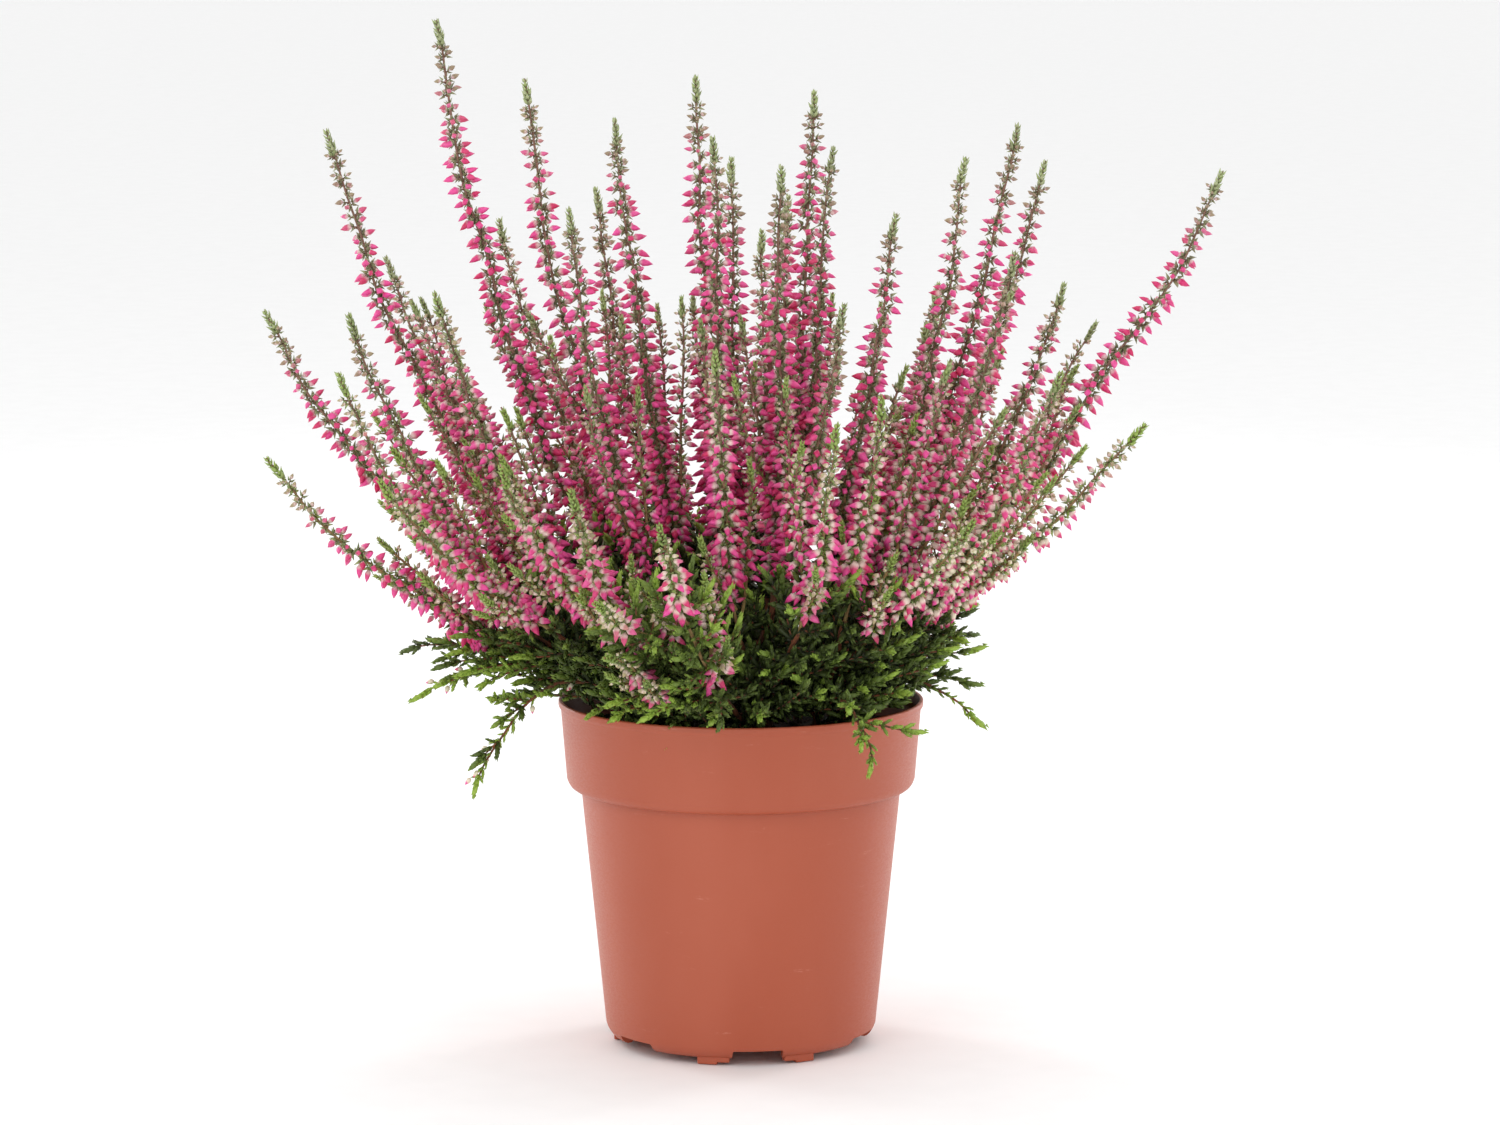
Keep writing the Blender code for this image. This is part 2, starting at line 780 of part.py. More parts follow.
def add_twigs(stems, room):
    """Twigs in whorls, wherever there is room, in a seeded order."""
    draw = random.Random(TWIG_SEED)
    choices = []
    for mesh, bands, twig_sides in stems:
        for side in twig_sides:
            low_first = (side.centre().z - LIP_HEIGHT) / TWIG_RISE
            choices.append((draw.random() + low_first, mesh, bands, side))
    choices.sort(key=lambda choice: choice[0])
    count = 0
    for share, mesh, bands, side in choices:
        if count == TWIG_MOST:
            break
        for attempt in range(TWIG_TRIES):
            length = TWIG_LENGTH * draw.uniform(0.9, 1.1) * (1 - TWIG_SHORTER * attempt)
            path = twig_path(side, draw.uniform(-TWIG_SWAY, TWIG_SWAY), length)
            rooms = [twig_room(point, path) for point in path]
            if room.clear(path, rooms):
                break
        else:
            continue
        room.take(path, rooms)
        side.used = True
        places = [length * TWIG_ROOT_SHARE, length * TWIG_END_SHARE]
        radii = [TWIG_RADIUS, TWIG_END_RADIUS]
        reaches = [TWIG_ROOT_REACH, TWIG_LEAF_REACH]
        grown, end = grow(mesh, side.corners, path[0], along(path, places), radii, reaches,
                          LEAF_LIFT, True)
        bands += grown
        count += 1


# Flower spikes

def spike_rings(start, length):
    """Places, radii and floret reach of a spike's rings between a place on its path and the tip."""
    body = length - TIP_LENGTH - start
    count = max(2, round(body / FLOWER_BAND))
    places = [start + body * (i + 1) / count for i in range(count)]
    tip_band = (TIP_LENGTH - POINT_LENGTH) / TIP_BANDS
    places += [length - TIP_LENGTH + tip_band * (i + 1) for i in range(TIP_BANDS)]
    radii = []
    reaches = []
    for index in range(len(places)):
        share = index / (len(places) - 1)
        radii.append(STEM_END_RADIUS + (SPIKE_TIP_RADIUS - STEM_END_RADIUS) * share)
        if index >= count:
            reaches.append(TIP_REACH * (1 - TIP_SHRINK * (index - count)))
        else:
            reaches.append(FLORET_REACH * (1 - FLORET_SHRINK * max(0.0, share - 0.5)))
    return places, radii, reaches


def build_spike(shoot, collection, made_of):
    mesh = bmesh.new()
    path = shoot.path
    start = shoot.flower_start()
    places, radii, reaches = spike_rings(start, path_length(path))
    a, b, c = shoot.end_ring
    facing = (b - a).cross(c - a).normalized()
    ring = start_ring(mesh, [corner + facing * TOUCH_GAP for corner in shoot.end_ring])
    base = (a + b + c) / 3 + facing * TOUCH_GAP
    bands, end = grow(mesh, ring, base, along(path, places), radii, reaches, FLORET_LIFT, True)
    close_sides(mesh, bands)
    name = f"flower_spike_{shoot.stem:02d}_{shoot.number}"
    return finish_mesh(name, mesh, collection, made_of)


def build_all():
    clear_scene()
    plant = new_collection("potted_heather")
    cutters = new_collection("cutters")
    terracotta = material("terracotta plastic", (0.445, 0.117, 0.069), 0.45)
    earth = material("peat soil", (0.030, 0.018, 0.011), 0.95)
    green = material("heather leaves", (0.085, 0.165, 0.035), 0.75)
    pink = material("heather buds", (0.560, 0.075, 0.225), 0.60)
    build_pot(plant, terracotta)
    build_soil(plant, cutters, earth)

    stems = []
    for number, (foot, tips) in enumerate(STEMS, start=1):
        sprigs = [(Vector(over), Vector(tip)) for stem, over, tip in SPRIGS if stem == number]
        stems.append(plan_stem(number, foot, tips, sprigs))
    shoots = [shoot for stem in stems for shoot in stem]
    spread_shoots(shoots)
    grown = [build_stem(number, stem) for number, stem in enumerate(stems, start=1)]
    add_twigs(grown, Room(shoots))
    for number, (mesh, bands, twig_sides) in enumerate(grown, start=1):
        close_sides(mesh, bands)
        finish_mesh(f"leafy_stem_{number:02d}", mesh, plant, green)
    for shoot in shoots:
        if shoot.flowering:
            build_spike(shoot, plant, pink)


build_all()
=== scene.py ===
import heapq
import math
import random

import bmesh
import bpy
import numpy as np
from mathutils import Matrix, Vector, noise


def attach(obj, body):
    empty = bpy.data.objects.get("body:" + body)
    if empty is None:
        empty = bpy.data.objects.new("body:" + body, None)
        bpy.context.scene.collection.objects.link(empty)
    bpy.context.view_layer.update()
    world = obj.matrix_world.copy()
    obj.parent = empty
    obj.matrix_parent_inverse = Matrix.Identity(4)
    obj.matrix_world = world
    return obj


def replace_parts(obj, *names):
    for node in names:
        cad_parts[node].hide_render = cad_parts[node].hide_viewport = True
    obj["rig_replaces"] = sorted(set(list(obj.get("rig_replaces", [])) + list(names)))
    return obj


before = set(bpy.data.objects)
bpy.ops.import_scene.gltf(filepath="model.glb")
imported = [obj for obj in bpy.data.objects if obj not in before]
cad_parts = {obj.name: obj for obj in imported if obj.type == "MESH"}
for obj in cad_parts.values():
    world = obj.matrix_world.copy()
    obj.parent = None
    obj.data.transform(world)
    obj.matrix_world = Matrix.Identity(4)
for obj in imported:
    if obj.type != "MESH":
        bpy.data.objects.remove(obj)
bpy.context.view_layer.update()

# Potted heather: pink bud heather in a thin terracotta-coloured nursery pot.
# Each stem and spike follows the line of its CAD node and is dressed with buds,
# leaves and bark here. Lengths are in metres.

up = Vector((0.0, 0.0, 1.0))
down = -up
fullTurn = math.tau
bpy.context.scene.view_settings.view_transform = "Standard"
print("frame loaded:", len(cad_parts), "nodes")


# Small helpers.

def mix(a, b, share):
    return a + (b - a) * share


def clamp(value, low=0.0, high=1.0):
    return max(low, min(high, value))


def shadeOf(red, green, blue):
    # a screen colour, 0 to 255, as the linear colour that a node wants
    made = []
    for part in (red, green, blue):
        part = part / 255
        made.append(part / 12.92 if part <= 0.04045 else ((part + 0.055) / 1.055) ** 2.4)
    return (*made, 1.0)


def tableOf(points):
    return np.array([tuple(point) for point in points])


def pointsOf(mesh):
    table = np.zeros(len(mesh.vertices) * 3)
    mesh.vertices.foreach_get("co", table)
    return table.reshape(-1, 3)


def nearest(points, others):
    # how far each point is from the nearest of the others
    return np.sqrt(((points[:, None, :] - others[None, :, :]) ** 2).sum(axis=2)).min(axis=1)


def trianglesOf(item):
    return sum(len(face.vertices) - 2 for face in item.data.polygons)


def addObject(name, data):
    item = bpy.data.objects.new(name, data)
    bpy.context.scene.collection.objects.link(item)
    return item


def pickNothing():
    bpy.ops.object.select_all(action="DESELECT")


def pick(item):
    pickNothing()
    item.select_set(True)
    bpy.context.view_layer.objects.active = item


def settle(item):
    # the object goes to the origin, and its place into its mesh
    pick(item)
    bpy.ops.object.transform_apply(location=True, rotation=True, scale=True)


def editAll(item):
    # edit mode, with the whole shape selected
    pick(item)
    bpy.ops.object.mode_set(mode="EDIT")
    bpy.ops.mesh.select_all(action="SELECT")


def stopEdit():
    bpy.ops.object.mode_set(mode="OBJECT")


def join(item, other):
    # the other object becomes part of this one
    pick(item)
    other.select_set(True)
    bpy.ops.object.join()


# Lines of the stems and spikes, read from the CAD nodes.

reading = {
    "branchShortest": 0.007,    # a leaf is shorter
    "sprigShortest": 0.033,     # a twig is shorter
    "spike": (0.004, 4),        # between a smoothed line's points, and rounds of smoothing
    "shoot": (0.003, 3),
    "sprig": (0.003, 2),
    "twig": (0.003, 2),
}


def readNode(name):
    work = bmesh.new()
    work.from_mesh(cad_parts[name].data)
    bmesh.ops.remove_doubles(work, verts=work.verts, dist=1e-5)
    work.verts.index_update()
    points = [vertex.co.copy() for vertex in work.verts]
    links = [[(edge.other_vert(vertex).index, edge.calc_length()) for edge in vertex.link_edges]
             for vertex in work.verts]
    work.free()
    return points, links


def shortestWays(links, starts):
    far = [math.inf] * len(links)
    before = [-1] * len(links)
    queue = []
    for index in starts:
        far[index] = 0.0
        heapq.heappush(queue, (0.0, index))
    while queue:
        reached, index = heapq.heappop(queue)
        if reached > far[index]:
            continue
        for other, step in links[index]:
            if reached + step < far[other] - 1e-9:
                far[other] = reached + step
                before[other] = index
                heapq.heappush(queue, (far[other], other))
    return far, before


def wayBack(before, end, stopAt=()):
    way = [end]
    while before[way[-1]] >= 0 and way[-1] not in stopAt:
        way.append(before[way[-1]])
    return way


def evenLine(points, step):
    # the same line with its points evenly spaced
    line = [points[0]]
    lengths = [0.0]
    for point in points[1:]:
        gap = (point - line[-1]).length
        if gap > 1e-6:
            lengths.append(lengths[-1] + gap)
            line.append(point)
    if len(line) < 2:
        line.append(points[0] + up * 0.001)
        lengths.append(0.001)
    count = max(3, round(lengths[-1] / step) + 1)
    table = tableOf(line)
    places = np.linspace(0.0, lengths[-1], count)
    columns = [np.interp(places, lengths, table[:, axis]) for axis in range(3)]
    return [Vector(row) for row in np.stack(columns, axis=1)]


def smoothLine(points, step, rounds):
    line = evenLine(points, step)
    for _ in range(rounds):
        between = [(a + b * 2 + c) / 4 for a, b, c in zip(line, line[1:], line[2:])]
        line = [line[0]] + between + [line[-1]]
    return line


def readSpike(name, stemPoints):
    # from the ring beside the stem's end up to the tip
    points, links = readNode(name)
    starts = [int(index) for index in np.argsort(nearest(tableOf(points), stemPoints))[:3]]
    base = sum((points[index] for index in starts), Vector()) / 3
    far, before = shortestWays(links, starts)
    tip = max(range(len(points)), key=lambda index: (points[index] - base).length)
    way = [points[index] for index in reversed(wayBack(before, tip))]
    return [base] + way[1:]


def readStem(name, spikeBases):
    # the way to each spike first, then every other branch that is longer than a leaf
    points, links = readNode(name)
    lowest = sorted(range(len(points)), key=lambda index: points[index].z)[:3]
    far, before = shortestWays(links, lowest)
    ends = [min(range(len(points)), key=lambda index: (points[index] - base).length)
            for base in spikeBases]
    others = sorted(range(len(points)), key=lambda index: -far[index])
    taken = set()
    branches = []
    for order, end in enumerate(ends + others):
        if order >= len(ends) and end in taken:
            continue
        way = wayBack(before, end, taken)
        if order >= len(ends) and far[end] - far[way[-1]] < reading["branchShortest"]:
            continue
        line = [points[index] for index in reversed(way)]
        if order < len(ends):
            line.append(spikeBases[order])
        if branches:
            root = min((point for branch in branches for point in branch["line"]),
                       key=lambda point: (point - line[0]).length)
            line.insert(0, root.copy())
        for index in way:
            taken.add(index)
            taken.update(other for other, step in links[index])
        length = sum((b - a).length for a, b in zip(line, line[1:]))
        kind = "shoot" if order < len(ends) else "sprig" if length > reading["sprigShortest"] else "twig"
        branches.append({"kind": kind, "line": line, "length": length})
    for branch in branches:
        branch["line"] = smoothLine(branch["line"], *reading[branch["kind"]])
    return branches


stemNames = sorted(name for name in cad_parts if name.startswith("leafy_stem"))
spikeLines = {}
stemBranches = {}
for stemName in stemNames:
    stemPoints = pointsOf(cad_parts[stemName].data)
    spikeNames = sorted(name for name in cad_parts
                        if name.startswith("flower_spike_" + stemName[-2:]))
    raw = {name: readSpike(name, stemPoints) for name in spikeNames}
    for name in spikeNames:
        spikeLines[name] = smoothLine(raw[name], *reading["spike"])
    stemBranches[stemName] = readStem(stemName, [raw[name][0] for name in spikeNames])
    kinds = [branch["kind"] for branch in stemBranches[stemName]]
    print(stemName, {kind: kinds.count(kind) for kind in ("shoot", "sprig", "twig")})


# Materials.

def newMaterial(name, roughness):
    made = bpy.data.materials.new(name)
    made.use_nodes = True
    shader = made.node_tree.nodes["Principled BSDF"]
    shader.inputs["Roughness"].default_value = roughness
    return made, made.node_tree, shader


def plug(tree, value, socket):
    # a number, a colour or another node's socket goes into this socket
    if isinstance(value, bpy.types.NodeSocket):
        tree.links.new(value, socket)
    else:
        socket.default_value = value


def mathOf(tree, kind, *values, limit=False):
    node = tree.nodes.new("ShaderNodeMath")
    node.operation = kind
    node.use_clamp = limit
    for value, socket in zip(values, node.inputs):
        plug(tree, value, socket)
    return node.outputs[0]


def blendOf(tree, share, a, b, kind="MIX"):
    node = tree.nodes.new("ShaderNodeMix")
    node.data_type = "RGBA"
    node.blend_type = kind
    plug(tree, share, node.inputs[0])
    plug(tree, a, node.inputs[6])
    plug(tree, b, node.inputs[7])
    return node.outputs[2]


def rangeOf(tree, value, low, high, newLow=0.0, newHigh=1.0):
    node = tree.nodes.new("ShaderNodeMapRange")
    node.interpolation_type = "SMOOTHSTEP"
    plug(tree, value, node.inputs[0])
    for index, number in enumerate((low, high, newLow, newHigh), start=1):
        plug(tree, number, node.inputs[index])
    return node.outputs[0]


def placeOf(tree):
    return tree.nodes.new("ShaderNodeTexCoord").outputs["Object"]


def noiseOf(tree, scale, detail=3.0, stretch=(1.0, 1.0, 1.0), place=None):
    mapping = tree.nodes.new("ShaderNodeMapping")
    mapping.inputs["Scale"].default_value = stretch
    tree.links.new(place or placeOf(tree), mapping.inputs["Vector"])
    node = tree.nodes.new("ShaderNodeTexNoise")
    node.inputs["Scale"].default_value = scale
    node.inputs["Detail"].default_value = detail
    tree.links.new(mapping.outputs[0], node.inputs["Vector"])
    return node.outputs[0]


def coat(tree, shader, colour, height, relief):
    # relief is the strength and depth of the bumps that height makes
    tree.links.new(colour, shader.inputs["Base Color"])
    node = tree.nodes.new("ShaderNodeBump")
    node.inputs["Strength"].default_value, node.inputs["Distance"].default_value = relief
    tree.links.new(height, node.inputs["Height"])
    tree.links.new(node.outputs[0], shader.inputs["Normal"])


def shadeParts(tree):
    # along the petal or leaf, a random number, pale or young, and how green a bud or grey a leaf is; on
    # leaves deep inside the plant the random number and young also carry painted shade
    node = tree.nodes.new("ShaderNodeAttribute")
    node.attribute_name = "shade"
    split = tree.nodes.new("ShaderNodeSeparateColor")
    tree.links.new(node.outputs["Color"], split.inputs[0])
    return split.outputs[0], split.outputs[1], split.outputs[2], node.outputs["Alpha"]


def makePetal():
    look = {
        "cream": shadeOf(240, 234, 202),
        "blushWhite": shadeOf(240, 200, 206),
        "deep": shadeOf(210, 38, 94),
        "hot": shadeOf(242, 84, 164),
        "dusty": shadeOf(214, 122, 146),
        "unripe": shadeOf(142, 140, 106),
        "lime": shadeOf(202, 204, 138),
        "speckle": 900.0,
        "speckleTint": (0.5, -0.25),     # its share in the pink, and what is taken off again
        "dustiness": 0.70,
        "greenFrom": 0.72,
        "greenMost": 0.85,
        "foot": (0.60, 0.02),            # the pale foot of a bud reaches higher in a paler one
        "footFade": 0.32,
        "grain": 1400.0,
        "relief": (0.25, 0.0003),
    }
    made, tree, shader = newMaterial("heather petal", 0.55)
    along, chance, pale, age = shadeParts(tree)
    foot = blendOf(tree, pale, look["blushWhite"], look["cream"])
    tint = mathOf(tree, "MULTIPLY_ADD", noiseOf(tree, look["speckle"]), *look["speckleTint"])
    tint = mathOf(tree, "ADD", chance, tint, limit=True)
    pink = blendOf(tree, tint, look["deep"], look["hot"])
    pink = blendOf(tree, mathOf(tree, "MULTIPLY", age, look["dustiness"]), pink, look["dusty"])
    green = blendOf(tree, pale, look["unripe"], look["lime"])
    pink = blendOf(tree, rangeOf(tree, age, look["greenFrom"], 1.0, 0.0, look["greenMost"]), pink, green)
    start = mathOf(tree, "MULTIPLY_ADD", pale, *look["foot"])
    share = rangeOf(tree, along, start, mathOf(tree, "ADD", start, look["footFade"]))
    grain = noiseOf(tree, look["grain"], 2.0)
    coat(tree, shader, blendOf(tree, share, foot, pink), grain, look["relief"])
    return made


def makeLeaf():
    look = {
        # the darkest green, for old leaves and for the painted shade deep inside the plant
        "oldAndShaded": shadeOf(28, 36, 13),
        "grown": shadeOf(90, 110, 38),
        "young": shadeOf(152, 182, 68),
        "dusk": shadeOf(128, 122, 88),    # bracts and tips are greyer
        "mist": shadeOf(180, 188, 144),
        "chance": 0.22,                   # how much leaves differ
        "along": 0.12,                    # and how much lighter a leaf's point is
        "grain": 1100.0,
        "relief": (0.3, 0.0003),
    }
    made, tree, shader = newMaterial("heather leaf", 0.58)
    along, chance, young, grey = shadeParts(tree)
    # leaves deep inside the plant arrive with chance and young lowered, which paints shade on them
    value = mathOf(tree, "MULTIPLY_ADD", chance, look["chance"], young)
    value = mathOf(tree, "ADD", value, mathOf(tree, "MULTIPLY", along, look["along"]), limit=True)
    low = blendOf(tree, rangeOf(tree, value, 0.0, 0.55), look["oldAndShaded"], look["grown"])
    green = blendOf(tree, rangeOf(tree, value, 0.5, 1.0), low, look["young"])
    pale = blendOf(tree, rangeOf(tree, value, 0.2, 0.8), look["dusk"], look["mist"])
    grain = noiseOf(tree, look["grain"], 2.0)
    coat(tree, shader, blendOf(tree, grey, green, pale), grain, look["relief"])
    return made


def makeBark(name, look):
    # streaked along the stem, and another colour higher up
    made, tree, shader = newMaterial(name, 0.8)
    place = placeOf(tree)
    split = tree.nodes.new("ShaderNodeSeparateXYZ")
    tree.links.new(place, split.inputs[0])
    streak = noiseOf(tree, 420.0, 4.0, (1.0, 1.0, 0.25), place)
    low = blendOf(tree, rangeOf(tree, streak, 0.35, 0.65), look["dark"], look["light"])
    height = mathOf(tree, "ADD", split.outputs[2], mathOf(tree, "MULTIPLY", streak, 0.05))
    share = rangeOf(tree, height, *look["heights"], 0.0, 0.85)
    coat(tree, shader, blendOf(tree, share, low, look["high"]), streak, (0.6, 0.0005))
    return made


def makePeat():
    look = {"dark": shadeOf(24, 17, 12), "light": shadeOf(70, 48, 32), "grain": 480.0}
    made, tree, shader = newMaterial("damp peat", 0.95)
    grain = noiseOf(tree, look["grain"], 6.0)
    colour = blendOf(tree, rangeOf(tree, grain, 0.4, 0.75), look["dark"], look["light"])
    coat(tree, shader, colour, grain, (0.8, 0.001))
    return made


def makePotPlastic():
    look = {
        "clay": shadeOf(176, 87, 60),
        "redder": shadeOf(170, 79, 50),
        "scuff": shadeOf(206, 140, 118),
        "clouds": 18.0,
        "scuffs": 60.0,
        "grain": 700.0,
        "scuffMost": 0.45,
        "roughness": (0.38, 0.5),
        "relief": (0.12, 0.0002),
    }
    made, tree, shader = newMaterial("terracotta plastic", 0.42)
    place = placeOf(tree)
    broad = noiseOf(tree, look["clouds"], 3.0, (1.0, 1.0, 0.4), place)
    base = blendOf(tree, rangeOf(tree, broad, 0.35, 0.65), look["clay"], look["redder"])
    rubbed = noiseOf(tree, look["scuffs"], 5.0, (1.0, 1.0, 6.0), place)
    fine = noiseOf(tree, look["grain"], 3.0, (1.0, 1.0, 3.0), place)
    worn = mathOf(tree, "MULTIPLY", rangeOf(tree, rubbed, 0.66, 0.78), rangeOf(tree, fine, 0.45, 0.65))
    share = mathOf(tree, "MULTIPLY", worn, look["scuffMost"])
    tree.links.new(rangeOf(tree, fine, 0.3, 0.7, *look["roughness"]), shader.inputs["Roughness"])
    coat(tree, shader, blendOf(tree, share, base, look["scuff"]), fine, look["relief"])
    return made


petal = makePetal()
leaf = makeLeaf()
bark = makeBark("woody heather bark", {
    "dark": shadeOf(84, 54, 38),
    "light": shadeOf(140, 80, 50),
    "high": shadeOf(118, 92, 66),
    "heights": (0.16, 0.22),
})
shootBark = makeBark("young heather bark", {
    "dark": shadeOf(134, 104, 66),
    "light": shadeOf(164, 138, 86),
    "high": shadeOf(138, 102, 92),
    "heights": (0.18, 0.25),
})
peat = makePeat()
potPlastic = makePotPlastic()
print("materials made")


# Templates: buds, leaves, a stalk and crumbs, each modelled once.

formLooks = {
    # rings of (height, radius), then how flat the form is and how far its point leans to one side
    "bud": {"rings": [(0.0, 0.12), (0.28, 0.29), (0.66, 0.20), (1.0, 0.0)], "sides": 4,
            "flat": 1.0, "lean": 0.12},
    "scale": {"rings": [(0.0, 0.10), (0.42, 0.21), (1.0, 0.0)], "sides": 3, "flat": 0.6, "lean": 0.18},
    "needle": {"rings": [(0.0, 0.27), (1.0, 0.0)], "sides": 3, "flat": 0.75, "lean": 0.22},
    "stalk": {"rings": [(0.0, 0.20), (1.4, 0.0)], "sides": 3, "flat": 1.0, "lean": 0.0},
    "core": {"rings": [(0.0, 0.09), (0.72, 0.15), (1.0, 0.0)], "sides": 4, "flat": 1.0, "lean": 0.0},
}
crumbLook = {"kinds": 3, "rough": 0.5, "lumps": 1.7, "apart": 5.3, "flat": 0.75}
shootletLooks = {
    "shootlet0": {"length": 0.0060, "pairs": 4, "leaf": 0.0021, "bend": 0.0008, "core": 1.0},
    "shootlet1": {"length": 0.0050, "pairs": 4, "leaf": 0.0019, "bend": -0.0006, "core": 1.1},
    "shootlet2": {"length": 0.0072, "pairs": 5, "leaf": 0.0021, "bend": 0.0014, "core": 0.9},
    "plainShootlet": {"length": 0.0064, "pairs": 2, "leaf": 0.0030, "bend": 0.0008, "core": 1.2},
}
leafBroad = 1.5


def takeTemplate(item, along=True):
    # the triangles of a modelled shape; along runs from 0 at its foot to 1 at its top
    editAll(item)
    bpy.ops.mesh.normals_make_consistent(inside=False)
    bpy.ops.mesh.quads_convert_to_tris()
    stopEdit()
    points = pointsOf(item.data)
    faces = np.array([list(face.vertices) for face in item.data.polygons])
    shares = points[:, 2] / max(points[:, 2].max(), 1e-6) if along else np.zeros(len(points))
    bpy.data.objects.remove(item)
    return {"points": points, "faces": faces, "along": shares, "young": np.zeros(len(points))}


def raiseRings(rings, sides):
    # a closed form, raised from ring to ring; a ring without a radius is a point
    height, radius = rings[0]
    pickNothing()
    bpy.ops.mesh.primitive_circle_add(vertices=sides, radius=radius, fill_type="NGON",
                                      location=(0.0, 0.0, height))
    item = bpy.context.object
    settle(item)
    editAll(item)
    for newHeight, newRadius in rings[1:]:
        bpy.ops.mesh.extrude_region_move(
            TRANSFORM_OT_translate={"value": (0.0, 0.0, newHeight - height)})
        if newRadius:
            grow = newRadius / radius
            bpy.ops.transform.resize(value=(grow, grow, 1.0), center_override=(0.0, 0.0, newHeight))
            radius = newRadius
        else:
            bpy.ops.mesh.merge(type="CENTER")
        height = newHeight
    stopEdit()
    return item


def modelForm(name):
    look = formLooks[name]
    item = raiseRings(look["rings"], look["sides"])
    for vertex in item.data.vertices:
        vertex.co.x *= look["flat"]
        vertex.co.x += look["lean"] * vertex.co.z ** 2
    return takeTemplate(item, name != "stalk")


def modelCrumb(seed):
    look = crumbLook
    pickNothing()
    bpy.ops.mesh.primitive_ico_sphere_add(subdivisions=1, radius=1.0, location=(0.0, 0.0, 0.0))
    item = bpy.context.object
    for vertex in item.data.vertices:
        spot = vertex.co * look["lumps"] + Vector((seed * look["apart"], 0.0, 0.0))
        vertex.co *= 1.0 + look["rough"] * noise.noise(spot)
        vertex.co.z *= look["flat"]
    return takeTemplate(item, False)


def aimed(root, direction, facing, size, slim=1.0):
    # a template's place: foot at root, top along direction, its x side towards facing
    z = direction.normalized()
    x = facing - z * facing.dot(z)
    if x.length < 1e-6:
        x = z.orthogonal()
    x = x.normalized()
    y = z.cross(x)
    turned = Matrix((x * size * slim, y * size * slim, z * size)).transposed().to_4x4()
    return Matrix.Translation(root) @ turned


def gather(template, places):
    # all copies of one template as one set of points and faces; a place is (matrix, shade)
    matrices = np.array([list(map(list, matrix)) for matrix, shade in places])
    shades = np.array([shade for matrix, shade in places])
    count = len(template["points"])
    points = np.einsum("kij,nj->kni", matrices[:, :3, :3], template["points"])
    points = (points + matrices[:, None, :3, 3]).reshape(-1, 3)
    offsets = np.arange(len(places)) * count
    faces = (template["faces"][None] + offsets[:, None, None]).reshape(-1, 3)
    colours = np.zeros((len(places), count, 4))
    colours[:, :, 0] = template["along"]
    colours[:, :, 1] = shades[:, None, 0]
    colours[:, :, 2] = shades[:, None, 1] + template["young"][None]
    colours[:, :, 3] = shades[:, None, 2]
    return points, faces, np.clip(colours, 0.0, 1.0).reshape(-1, 4)


def stack(parts):
    # several sets of points, faces and colours as one
    shifted = []
    first = 0
    for points, faces, colours in parts:
        shifted.append(faces + first)
        first += len(points)
    return (np.vstack([part[0] for part in parts]), np.vstack(shifted),
            np.vstack([part[2] for part in parts]))


def modelShootlet(seed, look):
    # a leafy side shoot: crossed pairs of short leaves close along a blunt core
    draw = random.Random(seed)
    length = look["length"]
    lean = Vector((1.0, 0.0, 0.0)) * look["bend"]
    leaves = []
    for index in range(look["pairs"]):
        share = index / (look["pairs"] - 1)
        root = up * length * share * 0.80 + lean * share ** 2
        for side in (0.0, math.pi):
            angle = index * math.pi / 2 + side + draw.uniform(-0.2, 0.2)
            out = Vector((math.cos(angle), math.sin(angle), 0.0))
            direction = out * mix(1.0, 0.5, share) + up * mix(0.9, 1.3, share)
            size = look["leaf"] * mix(1.0, 0.85, share ** 2) * draw.uniform(0.9, 1.1)
            leaves.append((aimed(root + out * length * 0.05, direction, up, size, leafBroad),
                           (draw.random(), 0.3 * share, 0.0)))
    way = up + lean / length * 0.8
    heart = aimed(Vector(), way, Vector((0.0, 1.0, 0.0)), length, look["core"])
    points, faces, colours = stack([gather(templates["needle"], leaves),
                                    gather(core, [(heart, (0.3, 0.1, 0.0))])])
    return {"points": points, "faces": faces, "along": colours[:, 0], "young": colours[:, 2]}


templates = {name: modelForm(name) for name in formLooks}
core = templates.pop("core")
for seed in range(crumbLook["kinds"]):
    templates["crumb%d" % seed] = modelCrumb(seed)
for seed, (name, look) in enumerate(shootletLooks.items(), start=1):
    templates[name] = modelShootlet(seed, look)
finishes = {name: peat if name.startswith("crumb") else leaf for name in templates}
finishes.update({"bud": petal, "stalk": shootBark})
print("templates:", {name: len(shape["faces"]) for name, shape in templates.items()})


# A piece is built from its copies and its stems.

def sweepStems(name, routes, material, fine):
    # round stems along lines, each a list of points with its radii
    curve = bpy.data.curves.new(name, "CURVE")
    curve.dimensions = "3D"
    curve.bevel_depth = 1.0
    curve.bevel_resolution = fine
    curve.use_fill_caps = True
    for points, radii in routes:
        spline = curve.splines.new("POLY")
        spline.points.add(len(points) - 1)
        for spot, point, radius in zip(spline.points, points, radii):
            spot.co = (*point, 1.0)
            spot.radius = radius
    pick(addObject(name, curve))
    bpy.ops.object.convert(target="MESH")
    item = bpy.context.object
    item.data.materials.clear()
    item.data.materials.append(material)
    bpy.ops.object.shade_smooth()
    return item


def tapered(points, radii, thickness=1.0):
    # a stem along points: its radii are those at its foot and at its end
    last = len(points) - 1
    return points, [mix(*radii, index / last) * thickness for index in range(last + 1)]


def emptyPile():
    return {kind: [] for kind in templates}


def put(pile, kind, place, shade):
    # one copy of a template goes on the pile; its place is what aimed takes
    pile[kind].append((aimed(*place), shade))


